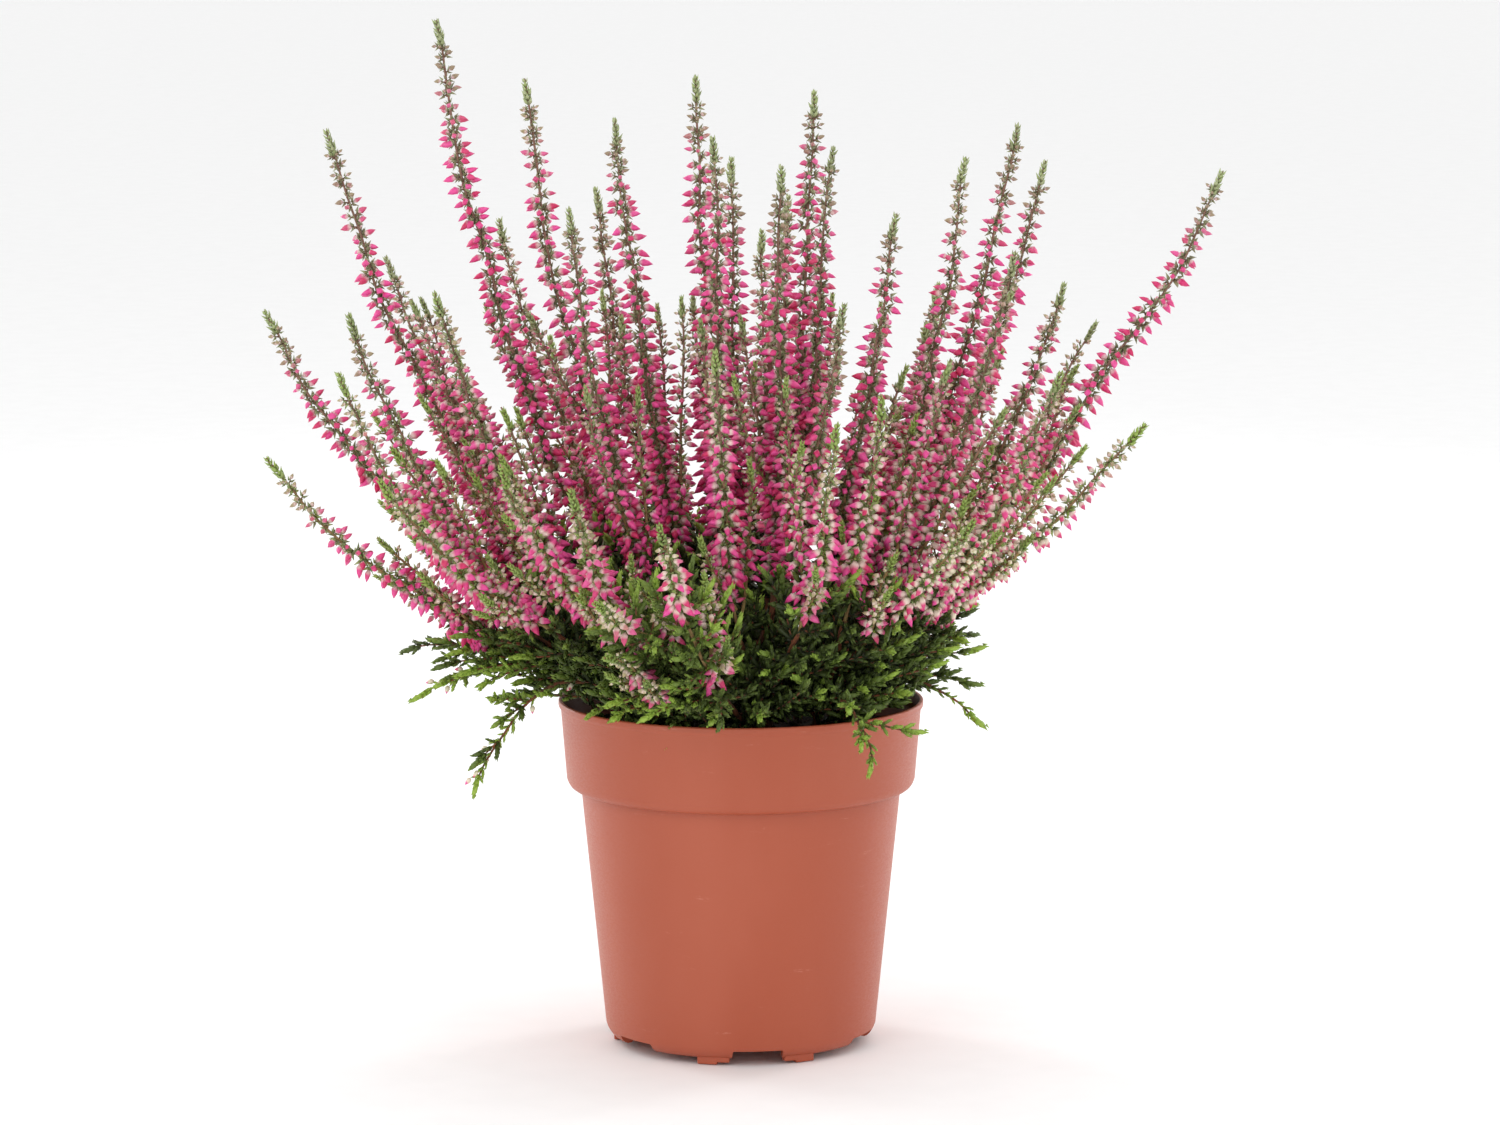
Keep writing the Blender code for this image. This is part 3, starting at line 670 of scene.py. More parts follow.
def buildCopies(name, pile):
    # one mesh of all the copies in a pile, {template: [(matrix, shade), ...]}
    kinds = [kind for kind in templates if pile[kind]]
    used = []
    for kind in kinds:
        if finishes[kind] not in used:
            used.append(finishes[kind])
    parts = [gather(templates[kind], pile[kind]) for kind in kinds]
    slots = [np.full(len(part[1]), used.index(finishes[kind])) for kind, part in zip(kinds, parts)]
    points, faces, colours = stack(parts)
    mesh = bpy.data.meshes.new(name)
    mesh.vertices.add(len(points))
    mesh.vertices.foreach_set("co", points.ravel().astype(np.float32))
    mesh.loops.add(len(faces) * 3)
    mesh.loops.foreach_set("vertex_index", faces.ravel().astype(np.int32))
    mesh.polygons.add(len(faces))
    mesh.polygons.foreach_set("loop_start", np.arange(0, len(faces) * 3, 3, dtype=np.int32))
    mesh.polygons.foreach_set("material_index", np.concatenate(slots).astype(np.int32))
    mesh.polygons.foreach_set("use_smooth", np.ones(len(faces), dtype=bool))
    mesh.update(calc_edges=True)
    shade = mesh.attributes.new("shade", "FLOAT_COLOR", "POINT")
    shade.data.foreach_set("color", colours.ravel().astype(np.float32))
    for finish in used:
        mesh.materials.append(finish)
    return addObject(name, mesh)


def buildPiece(name, pile, routes, twigs, nodes, slotName):
    item = buildCopies(name, pile)
    main = shootBark if slotName == "heather_bud" else bark
    for lines, material, fine in ((routes, main, 1), (twigs, bark, 0)):
        if lines:
            join(item, sweepStems(name + "_stems", lines, material, fine))
    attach(item, "root")
    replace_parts(item, *nodes)
    return item


class Line:
    # a line with a set of axes that is carried along it without turning

    def __init__(self, points):
        self.points = points
        self.ends = [0.0]
        for a, b in zip(points, points[1:]):
            self.ends.append(self.ends[-1] + (b - a).length)
        self.length = self.ends[-1]
        ahead = [(points[min(i + 1, len(points) - 1)] - points[max(i - 1, 0)]).normalized()
                 for i in range(len(points))]
        side = ahead[0].orthogonal().normalized()
        self.axes = []
        for direction in ahead:
            side = (side - direction * side.dot(direction)).normalized()
            self.axes.append((direction, side))

    def at(self, distance):
        distance = clamp(distance, 0.0, self.length)
        index = 1
        while index < len(self.ends) - 1 and self.ends[index] < distance:
            index += 1
        span = max(self.ends[index] - self.ends[index - 1], 1e-9)
        share = (distance - self.ends[index - 1]) / span
        centre = self.points[index - 1].lerp(self.points[index], share)
        direction = self.axes[index - 1][0].lerp(self.axes[index][0], share).normalized()
        side = self.axes[index - 1][1].lerp(self.axes[index][1], share)
        side = (side - direction * side.dot(direction)).normalized()
        return centre, direction, side

    def out(self, distance, angle):
        centre, direction, side = self.at(distance)
        return centre, direction, side * math.cos(angle) + direction.cross(side) * math.sin(angle)


# Leaves: twigs, sprays and the places that they keep clear of.

stemLook = {
    "seed": 70,
    "leader": (0.0016, 0.0009),
    "shoot": (0.0011, 0.00075),
    "sprig": (0.0008, 0.0003),
    "twig": (0.00048, 0.00024),
    "sprayGap": (0.0078, 0.0058),     # between the added sprays along a shoot, and at the left,
    "leftFrom": -0.035,               # which starts here
    "sprayLength": (0.024, 0.013),    # low on the shoot, and where its flowers start
    "sprayHeights": (0.108, 0.166),
    "innerShare": 0.36,               # of the sprays that are deep inside
    "depths": (0.015, 0.030),         # from here plain shootlets do, and from here fewer sprays
    "paintedShadeDepth": 0.021,              # painted shade: leaves are painted darker the deeper they sit inside the plant, down to here
    "spraySteps": 5,
    "sprayAim": (0.95, 0.35, 0.05),   # outwards, along the shoot and up
    "sprayRise": (0.12, 0.07),        # more at each step, up and along the shoot
    "young": (0.06, 0.66),            # the oldest spray, and how much younger the youngest is
    "shootletGap": 0.0033,
    "shootletReach": 0.0056,          # from the twig to a shootlet's end
    "shootletSize": (1.0, 0.62),      # at the foot and the end of a twig
    "budSize": 0.0028,
    "skirts": 5,                      # long low sprays from each shoot, out over the rim
    "skirtReach": (0.018, 0.012, 0.008),    # least length, more at random, and more again at the left
    "skirtHeights": (0.105, 0.132),
    "skirtSteps": 8,
    "skirtLift": (0.054, 0.066, 0.0045),    # between these radii it keeps this far above the rim
    "skirtBends": (0.062, 0.03, -0.05),     # up to here it bends up, and beyond it down
    "frontGap": (0.026, 0.65),        # nearer the middle at the front, this share of them is left out
    "depthRatio": 1.12,               # how much wider than deep the green part of the plant is
    "greenOutline": [(0.112, 0.066), (0.125, 0.084), (0.145, 0.094), (0.175, 0.094)],
}
rimRadius = 0.0600
rimHeight = 0.1140
rimWall = 0.0035
leafLowest = 0.1035    # inside the pot, just above the soil


def clearOfPot(point, room=0.0014):
    out = math.hypot(point.x, point.y)
    if out < rimRadius - rimWall:
        return point.z > leafLowest
    return not (out < rimRadius + room and point.z < rimHeight + room)


def depthInside(point):
    # how far inside the plant's green outline a point lies
    heights, widths = zip(*stemLook["greenOutline"])
    out = math.hypot(point.x, point.y * stemLook["depthRatio"])
    return float(np.interp(point.z, heights, widths)) - out


def dressTwig(points, pile, draw, young, bare=0.10, buds=0.0, plain=False, grow=1.0):
    # shootlets on both sides of a twig, and one at its end
    look = stemLook
    line = Line(points)
    place = line.length * bare
    turn = draw.uniform(0.0, fullTurn)
    while place < line.length:
        share = place / line.length
        for side in (0.0, math.pi):
            centre, direction, out = line.out(place, turn + side + draw.gauss(0.0, 0.3))
            way = out * 0.9 + direction * mix(0.7, 1.1, share) + up * 0.2
            kind = "plainShootlet" if plain else "shootlet%d" % draw.randrange(3)
            size = mix(*look["shootletSize"], share) * draw.uniform(0.75, 1.15) * grow
            end = centre + way.normalized() * look["shootletReach"] * size
            if clearOfPot(end) and clearOfPot(centre):
                # painted shade: the deeper inside the plant a shootlet ends, the darker its leaf colour,
                # standing in for the shade there
                light = clamp(1.02 - depthInside(end) / look["paintedShadeDepth"])
                shade = (draw.random() * mix(0.4, 1.0, light), young * mix(0.7, 1.1, share) * light, 0.0)
                put(pile, kind, (centre, way, direction, size), shade)
                if draw.random() < buds:
                    put(pile, "bud", (end, way + down * 0.6, down, look["budSize"], 1.15),
                        (draw.random(), draw.uniform(0.6, 1.0), 0.0))
        turn += fullTurn / 4 + draw.uniform(-0.3, 0.3)
        place += look["shootletGap"] * draw.uniform(0.85, 1.15) * grow
    centre, direction, out = line.out(line.length, 0.0)
    if clearOfPot(centre):
        put(pile, "shootlet2", (centre - direction * 0.001, direction, out, draw.uniform(0.9, 1.2)),
            (draw.random(), young * 1.25, 0.0))


def growSpray(line, place, angle, length, draw):
    # a twig's points: out from the stem, then rising
    centre, direction, out = line.out(place, angle)
    outward, along, upward = stemLook["sprayAim"]
    rise, follow = stemLook["sprayRise"]
    way = (out * outward + direction * along + up * upward).normalized()
    points = [centre]
    steps = stemLook["spraySteps"]
    for step in range(steps):
        points.append(points[-1] + way * length / steps)
        drift = Vector((draw.gauss(0.0, 0.05), draw.gauss(0.0, 0.05), 0.0))
        way = (way + up * rise + direction * follow + drift).normalized()
    return points


def howYoung(draw):
    # most sprays are old
    oldest, more = stemLook["young"]
    return oldest + more * draw.random() ** 2.0


def addSpray(spray, pile, twigs, draw, young, grow=1.0):
    # only the outer sprays are worth every leaf
    depth = depthInside(spray[-1])
    fine, few = stemLook["depths"]
    if not all(clearOfPot(point, 0.003) for point in spray):
        return
    if depth > few and draw.random() > stemLook["innerShare"]:
        return
    dressTwig(spray, pile, draw, young, plain=depth > fine, grow=grow)
    twigs.append(tapered(spray, stemLook["twig"]))


# Flower spikes: buds in whorls with their bracts, and a scaly tip.

spikeLook = {
    "seed": 40,
    "sideSeed": 9,
    "whorlGap": (0.0036, 0.0046),     # low on the spike, and high
    "buds": (5.6, 4.3),               # buds in a whorl
    "budLength": (0.0051, 0.0040),
    "budWidth": (0.86, 1.00),
    "stalkLength": (0.0010, 0.0019),
    "hang": (0.30, -0.04),            # how far the buds point down
    "crowding": 0.019,                # just below the tip the whorls stand closer,
    "closest": 0.62,                  # down to this share of their gap,
    "ripening": (0.018, 0.042),       # and the buds are still small and green, on some spikes longer
    "smallest": 0.38,
    "ownPale": (0.02, 0.05, 0.08, 0.14, 0.24),    # how pale a spike is, one of these
    "paleBud": (0.55, 0.80, 1.25),    # a bud paler than this is smaller by this, and wider by this
    "bract": 0.0023,
    "bractPlace": (0.0007, 0.0006),   # behind the foot of its bud, and above or below it
    "stemLeaf": (0.0022, 0.0016),     # low on the spike, and high
    "stemRadius": (0.00066, 0.00034),
    "tipLength": 0.0076,
    "tipGap": 0.00145,
    "tipLeaves": 4,
    "tipLeaf": (0.0030, 0.0019),
    "flowersFrom": [(-0.094, 0.122), (-0.076, 0.145), (-0.048, 0.150), (-0.030, 0.157),
                    (0.040, 0.157), (0.060, 0.141), (0.080, 0.128)],    # lowest flowers, by x
    "flowersLeast": 0.030,
    "footSpray": (0.009, 0.017),
    "footGap": 0.0058,
    "paleLow": (0.15, 0.150, 0.035),  # how much paler the lowest are, from where down, and over what height
    "paleSpots": [(Vector((0.078, -0.030, 0.148)), 0.042, 0.66),    # where, how far, how much
                  (Vector((-0.044, -0.104, 0.146)), 0.030, 0.40)],
    "sideShares": [(0.50, 0.85), (0.34, 0.66), (0.26, 0.50), (0.40, 0.70)],    # of the whole spike's length
    "sideCounts": [(-0.030, 4), (0.040, 2), (0.200, 3)],    # how many, up to each x
    "sideTries": 18,
    "sideStep": 0.004,
    "sideFrom": 0.16,                 # they start within this share of the spike's length
    "sideLean": (0.14, 0.38),
    "sideFurthest": 0.122,
    "sideHighest": 0.248,
    "sideRoom": 0.0019,
    "fresh": (0.270, 0.205),          # tips at the first height are grey, and at the second lime
    "sway": 0.0012,
    "swaysPerMetre": 34.0,
}


def flowerLine(point):
    # the height of the lowest flowers, here
    places, heights = zip(*spikeLook["flowersFrom"])
    return float(np.interp(point.x, places, heights))


def paleness(point, own):
    # the low spikes at the right are still cream; others are pink from the start
    most, height, span = spikeLook["paleLow"]
    pale = own + most * clamp((height - point.z) / span)
    for spot, reach, strength in spikeLook["paleSpots"]:
        gap = point - spot
        gap.y *= 0.4
        pale += strength * math.exp(-(gap.length / reach) ** 2)
    return clamp(pale)


def wander(spot):
    # noise.noise gives the same value each run, which noise.noise_vector does not
    return Vector([noise.noise(spot + Vector((shift, 0.0, 0.0))) for shift in (0.0, 17.3, 41.9)])


def swayed(points, seed):
    # small bends, none at the foot and the tip
    look = spikeLook
    last = len(points) - 1
    made = []
    for index, point in enumerate(points):
        free = min(1.0, index / 4, (last - index) / 3)
        spot = point * look["swaysPerMetre"] + Vector((seed * 3.1, 0.0, 0.0))
        made.append(point + wander(spot) * look["sway"] * 2.0 * free)
    return made


def growSideSpike(points, share, draw, others):
    # a shorter spike from the foot of another: the way that keeps clearest of the rest
    look = spikeLook
    line = Line(points)
    best = None
    for attempt in range(look["sideTries"]):
        place = line.length * draw.uniform(0.0, look["sideFrom"])
        centre, direction, out = line.out(place, draw.uniform(0.0, fullTurn))
        lean = draw.uniform(*look["sideLean"])
        length = (line.length - place) * draw.uniform(*share)
        way = (direction + out * lean * 1.6).normalized()
        goal = (direction + out * lean * 0.4 + up * 0.12).normalized()
        made = [centre]
        steps = max(8, round(length / look["sideStep"]))
        for step in range(steps):
            made.append(made[-1] + way * length / steps)
            way = way.lerp(goal, 0.16).normalized()
        room = nearest(tableOf(made[4:]), others).min()
        tip = made[-1]
        if math.hypot(tip.x, tip.y * 1.25) > look["sideFurthest"] or tip.z > look["sideHighest"]:
            room -= 0.02
        if best is None or room > best[0]:
            best = (room, made)
    return best[1] if best[0] > look["sideRoom"] else None


def flowerStart(line):
    # how far up a spike its flowers start; below that it carries leaves
    start = line.length
    for end, point in zip(line.ends, line.points):
        if point.z >= flowerLine(point):
            start = end
            break
    return max(0.0, min(start, line.length - spikeLook["flowersLeast"]))


def dressFoot(line, start, pile, twigs, draw):
    place = 0.002
    turn = draw.uniform(0.0, fullTurn)
    while place < start:
        for half in (0.0, math.pi):
            spray = growSpray(line, place, turn + half + draw.gauss(0.0, 0.3),
                              draw.uniform(*spikeLook["footSpray"]), draw)
            addSpray(spray, pile, twigs, draw, draw.uniform(0.15, 0.6))
        turn += fullTurn / 4 + draw.uniform(-0.4, 0.4)
        place += spikeLook["footGap"] * draw.uniform(0.85, 1.15)


def addWhorls(line, start, top, pile, draw, vigour, fresh=0.0, ending=True):
    # whorls of buds with their bracts, which stay small and green near the spike's end
    look = spikeLook
    whole = vigour == 1.0
    own = draw.choice(look["ownPale"])
    back, apart = look["bractPlace"]
    palest, smaller, wider = look["paleBud"]
    ripening = draw.uniform(*look["ripening"])
    turn = draw.uniform(0.0, fullTurn)
    place = start + 0.0008
    while place < top:
        share = (place - start) / (top - start) if ending else 0.0
        ripe = clamp((top - place) / ripening) if ending else 1.0
        crowd = clamp((top - place) / look["crowding"]) if ending else 1.0
        gap = mix(*look["whorlGap"], share) * mix(look["closest"], 1.0, crowd)
        count = round(mix(*look["buds"], share) * vigour + draw.uniform(-0.7, 0.7))
        for index in range(count):
            angle = turn + index * fullTurn / count + draw.gauss(0.0, 0.28)
            at = place + draw.uniform(-0.36, 0.36) * gap
            centre, direction, out = line.out(at, angle)
            root = centre + out * mix(*look["stemRadius"], share) * 0.8
            reach = mix(*look["stalkLength"], share) * draw.uniform(0.7, 1.3) * mix(0.8, 1.0, ripe)
            rise = out + direction * mix(0.25, 0.6, share)
            head = root + rise.normalized() * reach
            put(pile, "stalk", (root, rise, direction, reach * 1.1), (0.5, 0.5, 0.0))
            hang = mix(*look["hang"], share) - 0.65 * (1.0 - ripe) ** 1.5 + draw.gauss(0.0, 0.17)
            aim = (out - direction * hang).normalized()
            size = mix(*look["budLength"], share) * mix(look["smallest"], 1.0, ripe ** 0.8)
            size *= draw.uniform(0.84, 1.14) * mix(0.6, 1.0, vigour)
            slim = draw.uniform(*look["budWidth"]) * mix(1.3, 1.0, ripe)
            pale = paleness(centre, own) + 0.28 * fresh * share ** 1.5 + draw.gauss(0.0, 0.06)
            if pale > palest:
                size *= smaller
                slim *= wider
            twist = Matrix.Rotation(draw.uniform(-0.7, 0.7), 3, aim)
            age = clamp((1.0 - ripe) * 1.35 + draw.uniform(0.0, 0.3) * share)
            put(pile, "bud", (head, aim, twist @ -direction, size, slim), (draw.random(), clamp(pale), age))
            grey = clamp((0.40 + 0.6 * share) * mix(1.0, 0.45, fresh) + draw.uniform(-0.2, 0.2))
            for lift in (0.5, -0.5) if whole else (0.5,):
                small = look["bract"] * draw.uniform(0.8, 1.2) * mix(0.72, 1.0, ripe)
                way = aim + direction * lift
                foot = head - aim * back + direction * lift * apart
                put(pile, "needle", (foot, way, direction * lift, small, 1.55),
                    (draw.random(), draw.uniform(0.05, 0.45) + 0.3 * fresh, grey))
        for index in range(2 if whole else 1):
            angle = turn + 0.6 + index * fullTurn / 2
            centre, direction, out = line.out(place + gap * draw.uniform(0.3, 0.7), angle)
            small = mix(*look["stemLeaf"], share) * draw.uniform(0.85, 1.15)
            grey = clamp(0.2 + share) * mix(1.0, 0.4, fresh)
            put(pile, "needle", (centre + out * 0.0003, out + direction * 0.8, direction, small, 1.2),
                (draw.random(), draw.uniform(0.1, 0.5) + 0.3 * fresh, grey))
        turn += fullTurn / 8 + draw.uniform(-0.2, 0.2)
        place += gap


def dressSpike(points, draw, pile, twigs, vigour=1.0):
    # leaves low down, then flowers, then the tip; vigour is below 1 on side spikes
    look = spikeLook
    line = Line(points)
    start = flowerStart(line)
    if vigour == 1.0:
        dressFoot(line, start, pile, twigs, draw)
    top = line.length - look["tipLength"] * vigour
    greyFrom, limeFrom = look["fresh"]
    fresh = clamp((greyFrom - points[-1].z) / (greyFrom - limeFrom) + draw.uniform(-0.25, 0.25))
    addWhorls(line, start, top, pile, draw, vigour, fresh)
    dressTip(line, top - 0.0010, pile, draw, fresh, vigour)
    return tapered(points, look["stemRadius"], mix(0.5, 1.0, vigour))


def dressTip(line, start, pile, draw, fresh, vigour):
    # the jagged green spear that ends a spike
    look = spikeLook
    whole = vigour == 1.0
    young = draw.uniform(0.35, 0.6) + 0.2 * fresh
    turn = 0.0
    place = start
    while place < line.length - 0.0006:
        share = (place - start) / (line.length - start)
        for index in range(look["tipLeaves"]):
            angle = turn + index * fullTurn / look["tipLeaves"] + draw.uniform(-0.3, 0.3)
            centre, direction, out = line.out(place, angle)
            size = mix(*look["tipLeaf"], share ** 1.3) * draw.uniform(0.75, 1.15) * mix(0.4, 1.0, vigour)
            swell = math.sin(math.pi * clamp(0.35 + share * 0.55))
            way = out * (0.25 + 0.95 * swell * draw.uniform(0.5, 1.3)) + direction
            put(pile, "scale" if whole else "needle", (centre + out * 0.0002, way, direction, size, 1.45),
                (draw.random() * 0.8, young + 0.15 * share, draw.uniform(0.5, 0.95) * mix(1.0, 0.3, fresh)))
        turn += fullTurn / 6
        place += look["tipGap"]


spikePoints = {name: tableOf(points) for name, points in spikeLines.items()}
sideSpikes = 0
for order, (name, points) in enumerate(spikeLines.items()):
    draw = random.Random(spikeLook["seed"] + order * 31)
    pile = emptyPile()
    twigs = []
    routes = [dressSpike(swayed(points, order), draw, pile, twigs)]
    sideDraw = random.Random(spikeLook["sideSeed"] + order * 17)
    count = next(number for reach, number in spikeLook["sideCounts"] if points[0].x < reach)
    for index, share in enumerate(spikeLook["sideShares"][:count]):
        side = growSideSpike(points, share, sideDraw, np.vstack(list(spikePoints.values())))
        if side:
            vigour = draw.uniform(0.74, 0.94)
            routes.append(dressSpike(swayed(side, order + 0.5), draw, pile, twigs, vigour))
            spikePoints["%s_side%d" % (name, index)] = tableOf(side)
            sideSpikes += 1
    buildPiece("heather_" + name[7:], pile, routes, twigs, [name], "heather_bud")
print("spikes dressed:", len(spikeLines), "and side spikes:", sideSpikes)


# Leafy stems: each shoot and twig that was read from the CAD node, with sprays along the shoots.

def growSkirt(line, draw):
    # a long low spray, outwards over the rim and a little down beyond it
    height = draw.uniform(*stemLook["skirtHeights"])
    centre = min(line.points, key=lambda point: abs(point.z - height)).copy()
    heading = math.atan2(centre.y, centre.x) + draw.gauss(0.0, 0.8)
    way = Vector((math.cos(heading), math.sin(heading), draw.uniform(0.0, 0.4))).normalized()
    least, more, left = stemLook["skirtReach"]
    length = least + more * draw.random() + left * max(0.0, -way.x)
    length += 0.3 * max(0.0, depthInside(centre))
    points = [centre]
    steps = stemLook["skirtSteps"]
    liftFrom, liftTo, lift = stemLook["skirtLift"]
    turning, upward, downward = stemLook["skirtBends"]
    for step in range(steps):
        point = points[-1] + way * length / steps
        out = math.hypot(point.x, point.y)
        if liftFrom < out < liftTo:
            point.z = max(point.z, rimHeight + lift)
        points.append(point)
        bend = draw.gauss(downward if out > turning else upward, 0.06)
        way = (way + Vector((draw.gauss(0.0, 0.07), draw.gauss(0.0, 0.07), bend))).normalized()
    return points


def dressShoot(points, pile, twigs, draw):
    look = stemLook
    line = Line(points)
    place = 0.004
    turn = draw.uniform(0.0, fullTurn)
    low, high = look["sprayHeights"]
    while place < line.length - 0.001:
        centre, direction, side = line.at(place)
        share = place / line.length
        if low < centre.z < min(high, flowerLine(centre) + 0.010):
            for half in (0.0, math.pi):
                length = mix(*look["sprayLength"], share) * draw.uniform(0.7, 1.2)
                spray = growSpray(line, place, turn + half + draw.gauss(0, 0.3), length, draw)
                addSpray(spray, pile, twigs, draw, howYoung(draw))
        turn += fullTurn / 4 + draw.uniform(-0.4, 0.4)
        place += look["sprayGap"][centre.x < look["leftFrom"]] * draw.uniform(0.8, 1.2)
    start = next((end for end, point in zip(line.ends, points) if point.z > flowerLine(point) + 0.002), None)
    if start is not None and start < line.length - 0.004:
        addWhorls(line, start, line.length, pile, draw, 0.95, ending=False)
    for index in range(look["skirts"]):
        skirt = growSkirt(line, draw)
        reach, missing = look["frontGap"]
        if abs(skirt[-1].x) < reach and skirt[-1].y < -0.02 and draw.random() < missing:
            continue
        addSpray(skirt, pile, twigs, draw, howYoung(draw), grow=1.05)


def dressStem(name, branches):
    look = stemLook
    draw = random.Random(look["seed"] + int(name[-2:]) * 13)
    pile = emptyPile()
    routes = []
    twigs = []
    for order, branch in enumerate(branches):
        points = branch["line"]
        stem = tapered(points, look["leader"] if order == 0 else look[branch["kind"]])
        if branch["kind"] == "twig" and points[0].z > flowerLine(points[0]) + 0.012:
            addWhorls(Line(points), 0.001, branch["length"], pile, draw, 0.85)
            twigs.append(stem)
        elif branch["kind"] == "twig":
            inner = depthInside(points[-1]) > look["depths"][0]
            dressTwig(points, pile, draw, draw.uniform(0.15, 0.6), plain=inner)
            twigs.append(stem)
        elif branch["kind"] == "sprig":
            left = points[-1].x < 0
            dressTwig(points, pile, draw, draw.uniform(0.4, 0.75), 0.35, 0.22 if left else 0.0, grow=0.78)
            routes.append(stem)
        else:
            dressShoot(points, pile, twigs, draw)
            routes.append(stem)
    item = buildPiece("heather_" + name, pile, routes, twigs, [name], "heather_leaf")
    print(item.name, "triangles", trianglesOf(item))


for name, branches in stemBranches.items():
    dressStem(name, branches)
print("stems dressed:", len(stemBranches))


# Pot: one turned wall with feet and drainage notches.

potLook = {
    "outside": [(0.0, 0.0052), (0.0384, 0.0052), (0.0387, 0.0049), (0.0392, 0.0026), (0.0396, 0.0022),
                (0.0414, 0.0022), (0.0424, 0.0026), (0.0434, 0.0036), (0.0441, 0.0048), (0.0446, 0.0062),
                (0.0526, 0.0847), (0.0536, 0.08475), (0.0544, 0.0849), (0.0555, 0.0853), (0.0562, 0.0858),
                (0.0568, 0.0867), (0.0573, 0.0880), (0.0592, 0.1110), (0.0594, 0.1114), (0.0599, 0.1120),
                (0.0600, 0.1124), (0.0600, 0.1136), (0.0598, 0.1139), (0.0595, 0.1140)],
    "inside": [(0.0590, 0.1140), (0.0587, 0.1138), (0.0580, 0.1110), (0.0561, 0.0882), (0.0556, 0.0872),
               (0.0548, 0.0865), (0.0526, 0.0859), (0.0514, 0.0857), (0.0434, 0.0068), (0.0430, 0.0064),
               (0.0, 0.0064)],
    "steps": 128,
    "notches": 6,
    "firstNotch": math.radians(-82.6),
    "notchSize": (0.0200, 0.0165, 0.0100),
    "notchFrom": 0.0368,
    "footRing": 0.0408,
    "footTop": 0.0032,
    # two steps of a foot: from the notch, its width, its depth and its lowest level
    "feet": [(0.0006, 0.0050, 0.0026, 0.0008), (0.0046, 0.0066, 0.00234, 0.0)],
    "footRounding": 0.0004,
    "notchRounding": 0.0006,
    "sharpFrom": math.radians(32),
}


def addBlock(name, size, centre, turn, rounding):
    pickNothing()
    bpy.ops.mesh.primitive_cube_add(size=1.0, location=(0.0, 0.0, 0.0))
    item = bpy.context.object
    item.name = name
    editAll(item)
    bpy.ops.transform.resize(value=size)
    bpy.ops.mesh.bevel(offset=rounding, segments=3, affect="EDGES")
    stopEdit()
    item.matrix_world = Matrix.Rotation(turn, 4, "Z") @ Matrix.Translation(centre)
    bpy.context.view_layer.update()
    settle(item)
    return item


def combine(item, other, operation):
    pick(item)
    step = item.modifiers.new(operation.lower(), "BOOLEAN")
    step.operation = operation
    step.solver = "EXACT"
    step.object = other
    bpy.ops.object.modifier_apply(modifier=step.name)
    bpy.data.objects.remove(other)


def modelPot():
    look = potLook
    section = look["outside"] + look["inside"]
    pickNothing()
    bpy.ops.mesh.primitive_plane_add(size=0.01, location=(0.0, 0.0, 0.0))
    item = bpy.context.object
    item.name = "nursery_pot"
    editAll(item)
    bpy.ops.mesh.merge(type="CENTER")
    radius, height = section[0]
    bpy.ops.transform.translate(value=(radius, 0.0, height))
    for newRadius, newHeight in section[1:]:
        bpy.ops.mesh.extrude_vertices_move(
            TRANSFORM_OT_translate={"value": (newRadius - radius, 0.0, newHeight - height)})
        radius, height = newRadius, newHeight
    bpy.ops.mesh.select_all(action="SELECT")
    bpy.ops.mesh.spin(steps=look["steps"], angle=fullTurn, center=(0.0, 0.0, 0.0), axis=(0.0, 0.0, 1.0))
    bpy.ops.mesh.select_all(action="SELECT")
    bpy.ops.mesh.remove_doubles(threshold=0.00001)
    bpy.ops.mesh.normals_make_consistent(inside=False)
    stopEdit()

    for pair in range(0, look["notches"], 2):
        turn = look["firstNotch"] + pair * fullTurn / look["notches"]
        for side in (-1, 1):
            for start, width, depth, level in look["feet"]:
                tall = look["footTop"] - level
                across = side * (look["notchSize"][1] / 2 + start + width / 2)
                foot = addBlock("foot", (depth, width, tall), (look["footRing"], 0.0, level + tall / 2),
                                turn + across / look["footRing"], look["footRounding"])
                combine(item, foot, "UNION")
    for index in range(look["notches"]):
        turn = look["firstNotch"] + index * fullTurn / look["notches"]
        centre = (look["notchFrom"] + look["notchSize"][0] / 2, 0.0, 0.0)
        notch = addBlock("notch", look["notchSize"], centre, turn, look["notchRounding"])
        combine(item, notch, "DIFFERENCE")
    pick(item)
    bpy.ops.object.shade_smooth_by_angle(angle=look["sharpFrom"])
    item.data.materials.clear()
    item.data.materials.append(potPlastic)
    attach(item, "root")
    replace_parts(item, "pot")
    return item


pot = modelPot()
print("pot modelled:", len(pot.data.polygons), "faces")


# Soil: a plug of peat that fills the pot, with loose crumbs on top.

soilLook = {
    "seed": 5,
    "level": 0.1020,
    "mound": 0.0022,
    "lump": 0.0016,
    "topRadius": 0.0566,
    "plug": [(0.0885, 0.0555), (0.0872, 0.0541), (0.0862, 0.0508), (0.0074, 0.0428)],
    "sides": 72,
    "rings": 20,
    "crumbs": 420,
    "crumbSize": (0.0005, 0.0019),
}


def soilHeight(x, y):
    look = soilLook
    rise = look["mound"] * math.cos(min(math.hypot(x, y) / rimRadius, 1.0) * math.pi / 2)
    lump = noise.noise(Vector((x, y, 0.0)) * 70.0) + 0.4 * noise.noise(Vector((x, y, 3.0)) * 240.0)
    return look["level"] + rise + look["lump"] * lump


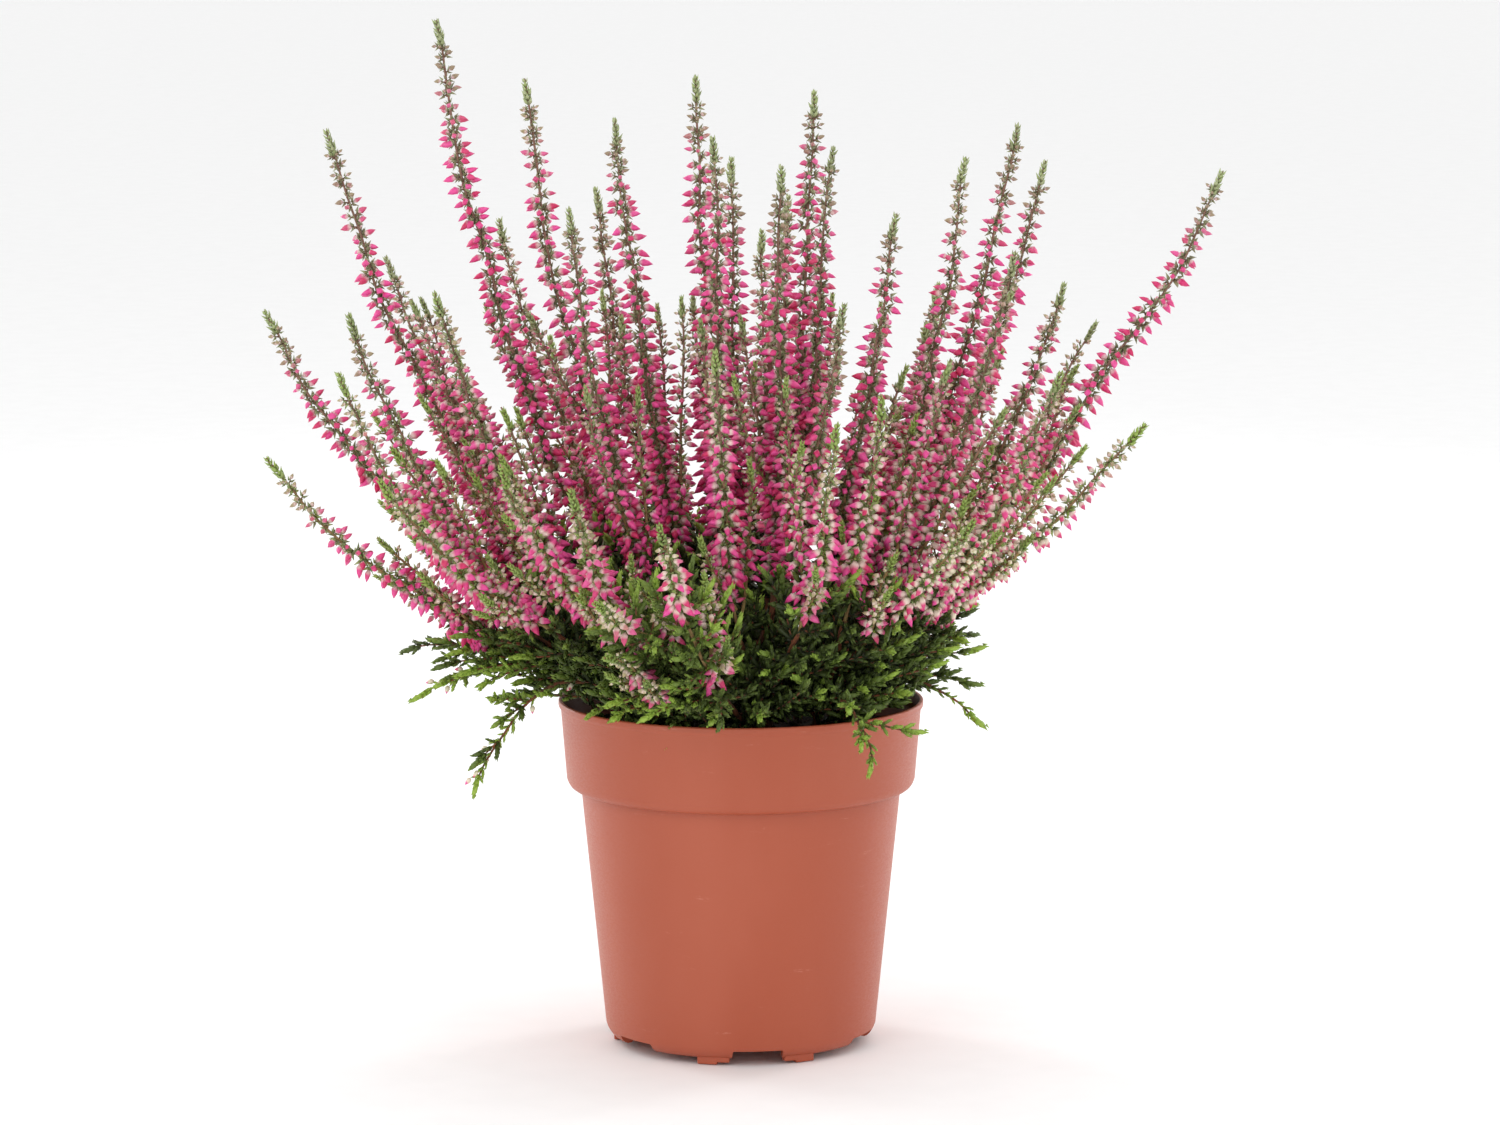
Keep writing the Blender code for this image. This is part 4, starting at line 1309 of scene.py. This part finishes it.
def modelSoil():
    look = soilLook
    draw = random.Random(look["seed"])
    item = raiseRings([(look["level"], look["topRadius"])] + look["plug"], look["sides"])
    editAll(item)
    bpy.ops.mesh.select_mode(type="FACE")
    bpy.ops.mesh.select_all(action="DESELECT")
    stopEdit()
    top = max(item.data.polygons, key=lambda face: face.center.z + len(face.vertices))
    top.select = True
    bpy.ops.object.mode_set(mode="EDIT")
    for _ in range(look["rings"]):
        bpy.ops.mesh.inset(thickness=look["topRadius"] / (look["rings"] + 1))
    bpy.ops.mesh.poke()
    bpy.ops.mesh.select_all(action="SELECT")
    bpy.ops.mesh.normals_make_consistent(inside=False)
    stopEdit()
    for vertex in item.data.vertices:
        if vertex.co.z > look["level"] - 0.001:
            vertex.co.z = soilHeight(vertex.co.x, vertex.co.y)
    item.data.materials.append(peat)
    bpy.ops.object.shade_smooth()

    pile = emptyPile()
    for index in range(look["crumbs"]):
        out = look["topRadius"] * 0.97 * math.sqrt(draw.random())
        turn = draw.uniform(0.0, fullTurn)
        x, y = out * math.cos(turn), out * math.sin(turn)
        size = mix(*look["crumbSize"], draw.random() ** 2.5)
        root = Vector((x, y, soilHeight(x, y) + size * 0.3))
        way = Vector((draw.gauss(0, 1), draw.gauss(0, 1), draw.gauss(0, 1)))
        put(pile, "crumb%d" % (index % crumbLook["kinds"]), (root, way, up, size, draw.uniform(0.7, 1.3)),
            (draw.random(), 0.0, 0.0))
    loose = buildCopies("peat_soil", pile)
    join(loose, item)
    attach(loose, "root")
    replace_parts(loose, "soil")
    return loose


soil = modelSoil()
print("soil modelled:", len(soil.data.polygons), "faces")


# Floor, light and camera.

studio = {
    "distance": 2.0,
    "dip": math.radians(8.1),
    "aim": Vector((0.003, 0.0, 0.159)),
    "lens": 146.4,
    "sky": ((1.0, 1.0, 1.0, 1.0), 0.97),
    "floor": (shadeOf(247, 247, 247), shadeOf(249, 249, 249)),
    "softboxes": {
        # where each one is, what it points at, its size and its power
        "key": ((-1.1, -1.7, 1.5), (0.0, 0.0, 0.15), (1.2, 1.2), 7.0),
        "fill": ((1.5, -1.4, 0.9), (0.0, 0.0, 0.12), (1.0, 1.4), 2.5),
        "above": ((0.0, 0.3, 2.0), (0.0, 0.0, 0.2), (1.6, 1.6), 4.0),
        "leftStrip": ((-1.0, 0.9, 0.4), (0.0, 0.0, 0.10), (0.35, 1.2), 7.0),
        "rightStrip": ((1.0, 0.9, 0.4), (0.0, 0.0, 0.10), (0.35, 1.2), 7.0),
    },
}


def makeFloor():
    pickNothing()
    bpy.ops.mesh.primitive_plane_add(size=40.0, location=(0.0, 0.0, -0.0002))
    floor = bpy.context.object
    floor.name = "studio_floor"
    settle(floor)
    made, tree, shader = newMaterial("pale floor", 0.7)
    cloud = rangeOf(tree, noiseOf(tree, 60.0), 0.3, 0.7)
    tree.links.new(blendOf(tree, cloud, *studio["floor"]), shader.inputs["Base Color"])
    floor.data.materials.append(made)


def addSoftbox(name, place, target, size, power):
    light = bpy.data.lights.new(name, "AREA")
    light.shape = "RECTANGLE"
    light.size, light.size_y = size
    light.energy = power
    item = addObject(name, light)
    item.location = place
    item.rotation_euler = (Vector(target) - Vector(place)).to_track_quat("-Z", "Y").to_euler()
    item.visible_camera = False


def lightStudio():
    look = studio
    world = bpy.data.worlds.new("studio")
    bpy.context.scene.world = world
    world.use_nodes = True
    colour, strength = world.node_tree.nodes["Background"].inputs[:2]
    colour.default_value, strength.default_value = look["sky"]
    for name, softbox in look["softboxes"].items():
        addSoftbox(name, *softbox)

    camera = bpy.data.cameras.new("view")
    camera.lens = look["lens"]
    camera.sensor_width = 36.0
    camera.clip_start = 0.05
    camera.clip_end = 60.0
    item = addObject("view", camera)
    back = Vector((0.0, -math.cos(look["dip"]), math.sin(look["dip"])))
    item.location = look["aim"] + back * look["distance"]
    item.rotation_euler = (-back).to_track_quat("-Z", "Y").to_euler()
    bpy.context.scene.camera = item


makeFloor()
lightStudio()
print("studio set")

pieces = [item for item in bpy.data.objects if item.type == "MESH" and "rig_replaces" in item]
print("triangles in all:", sum(trianglesOf(item) for item in pieces))
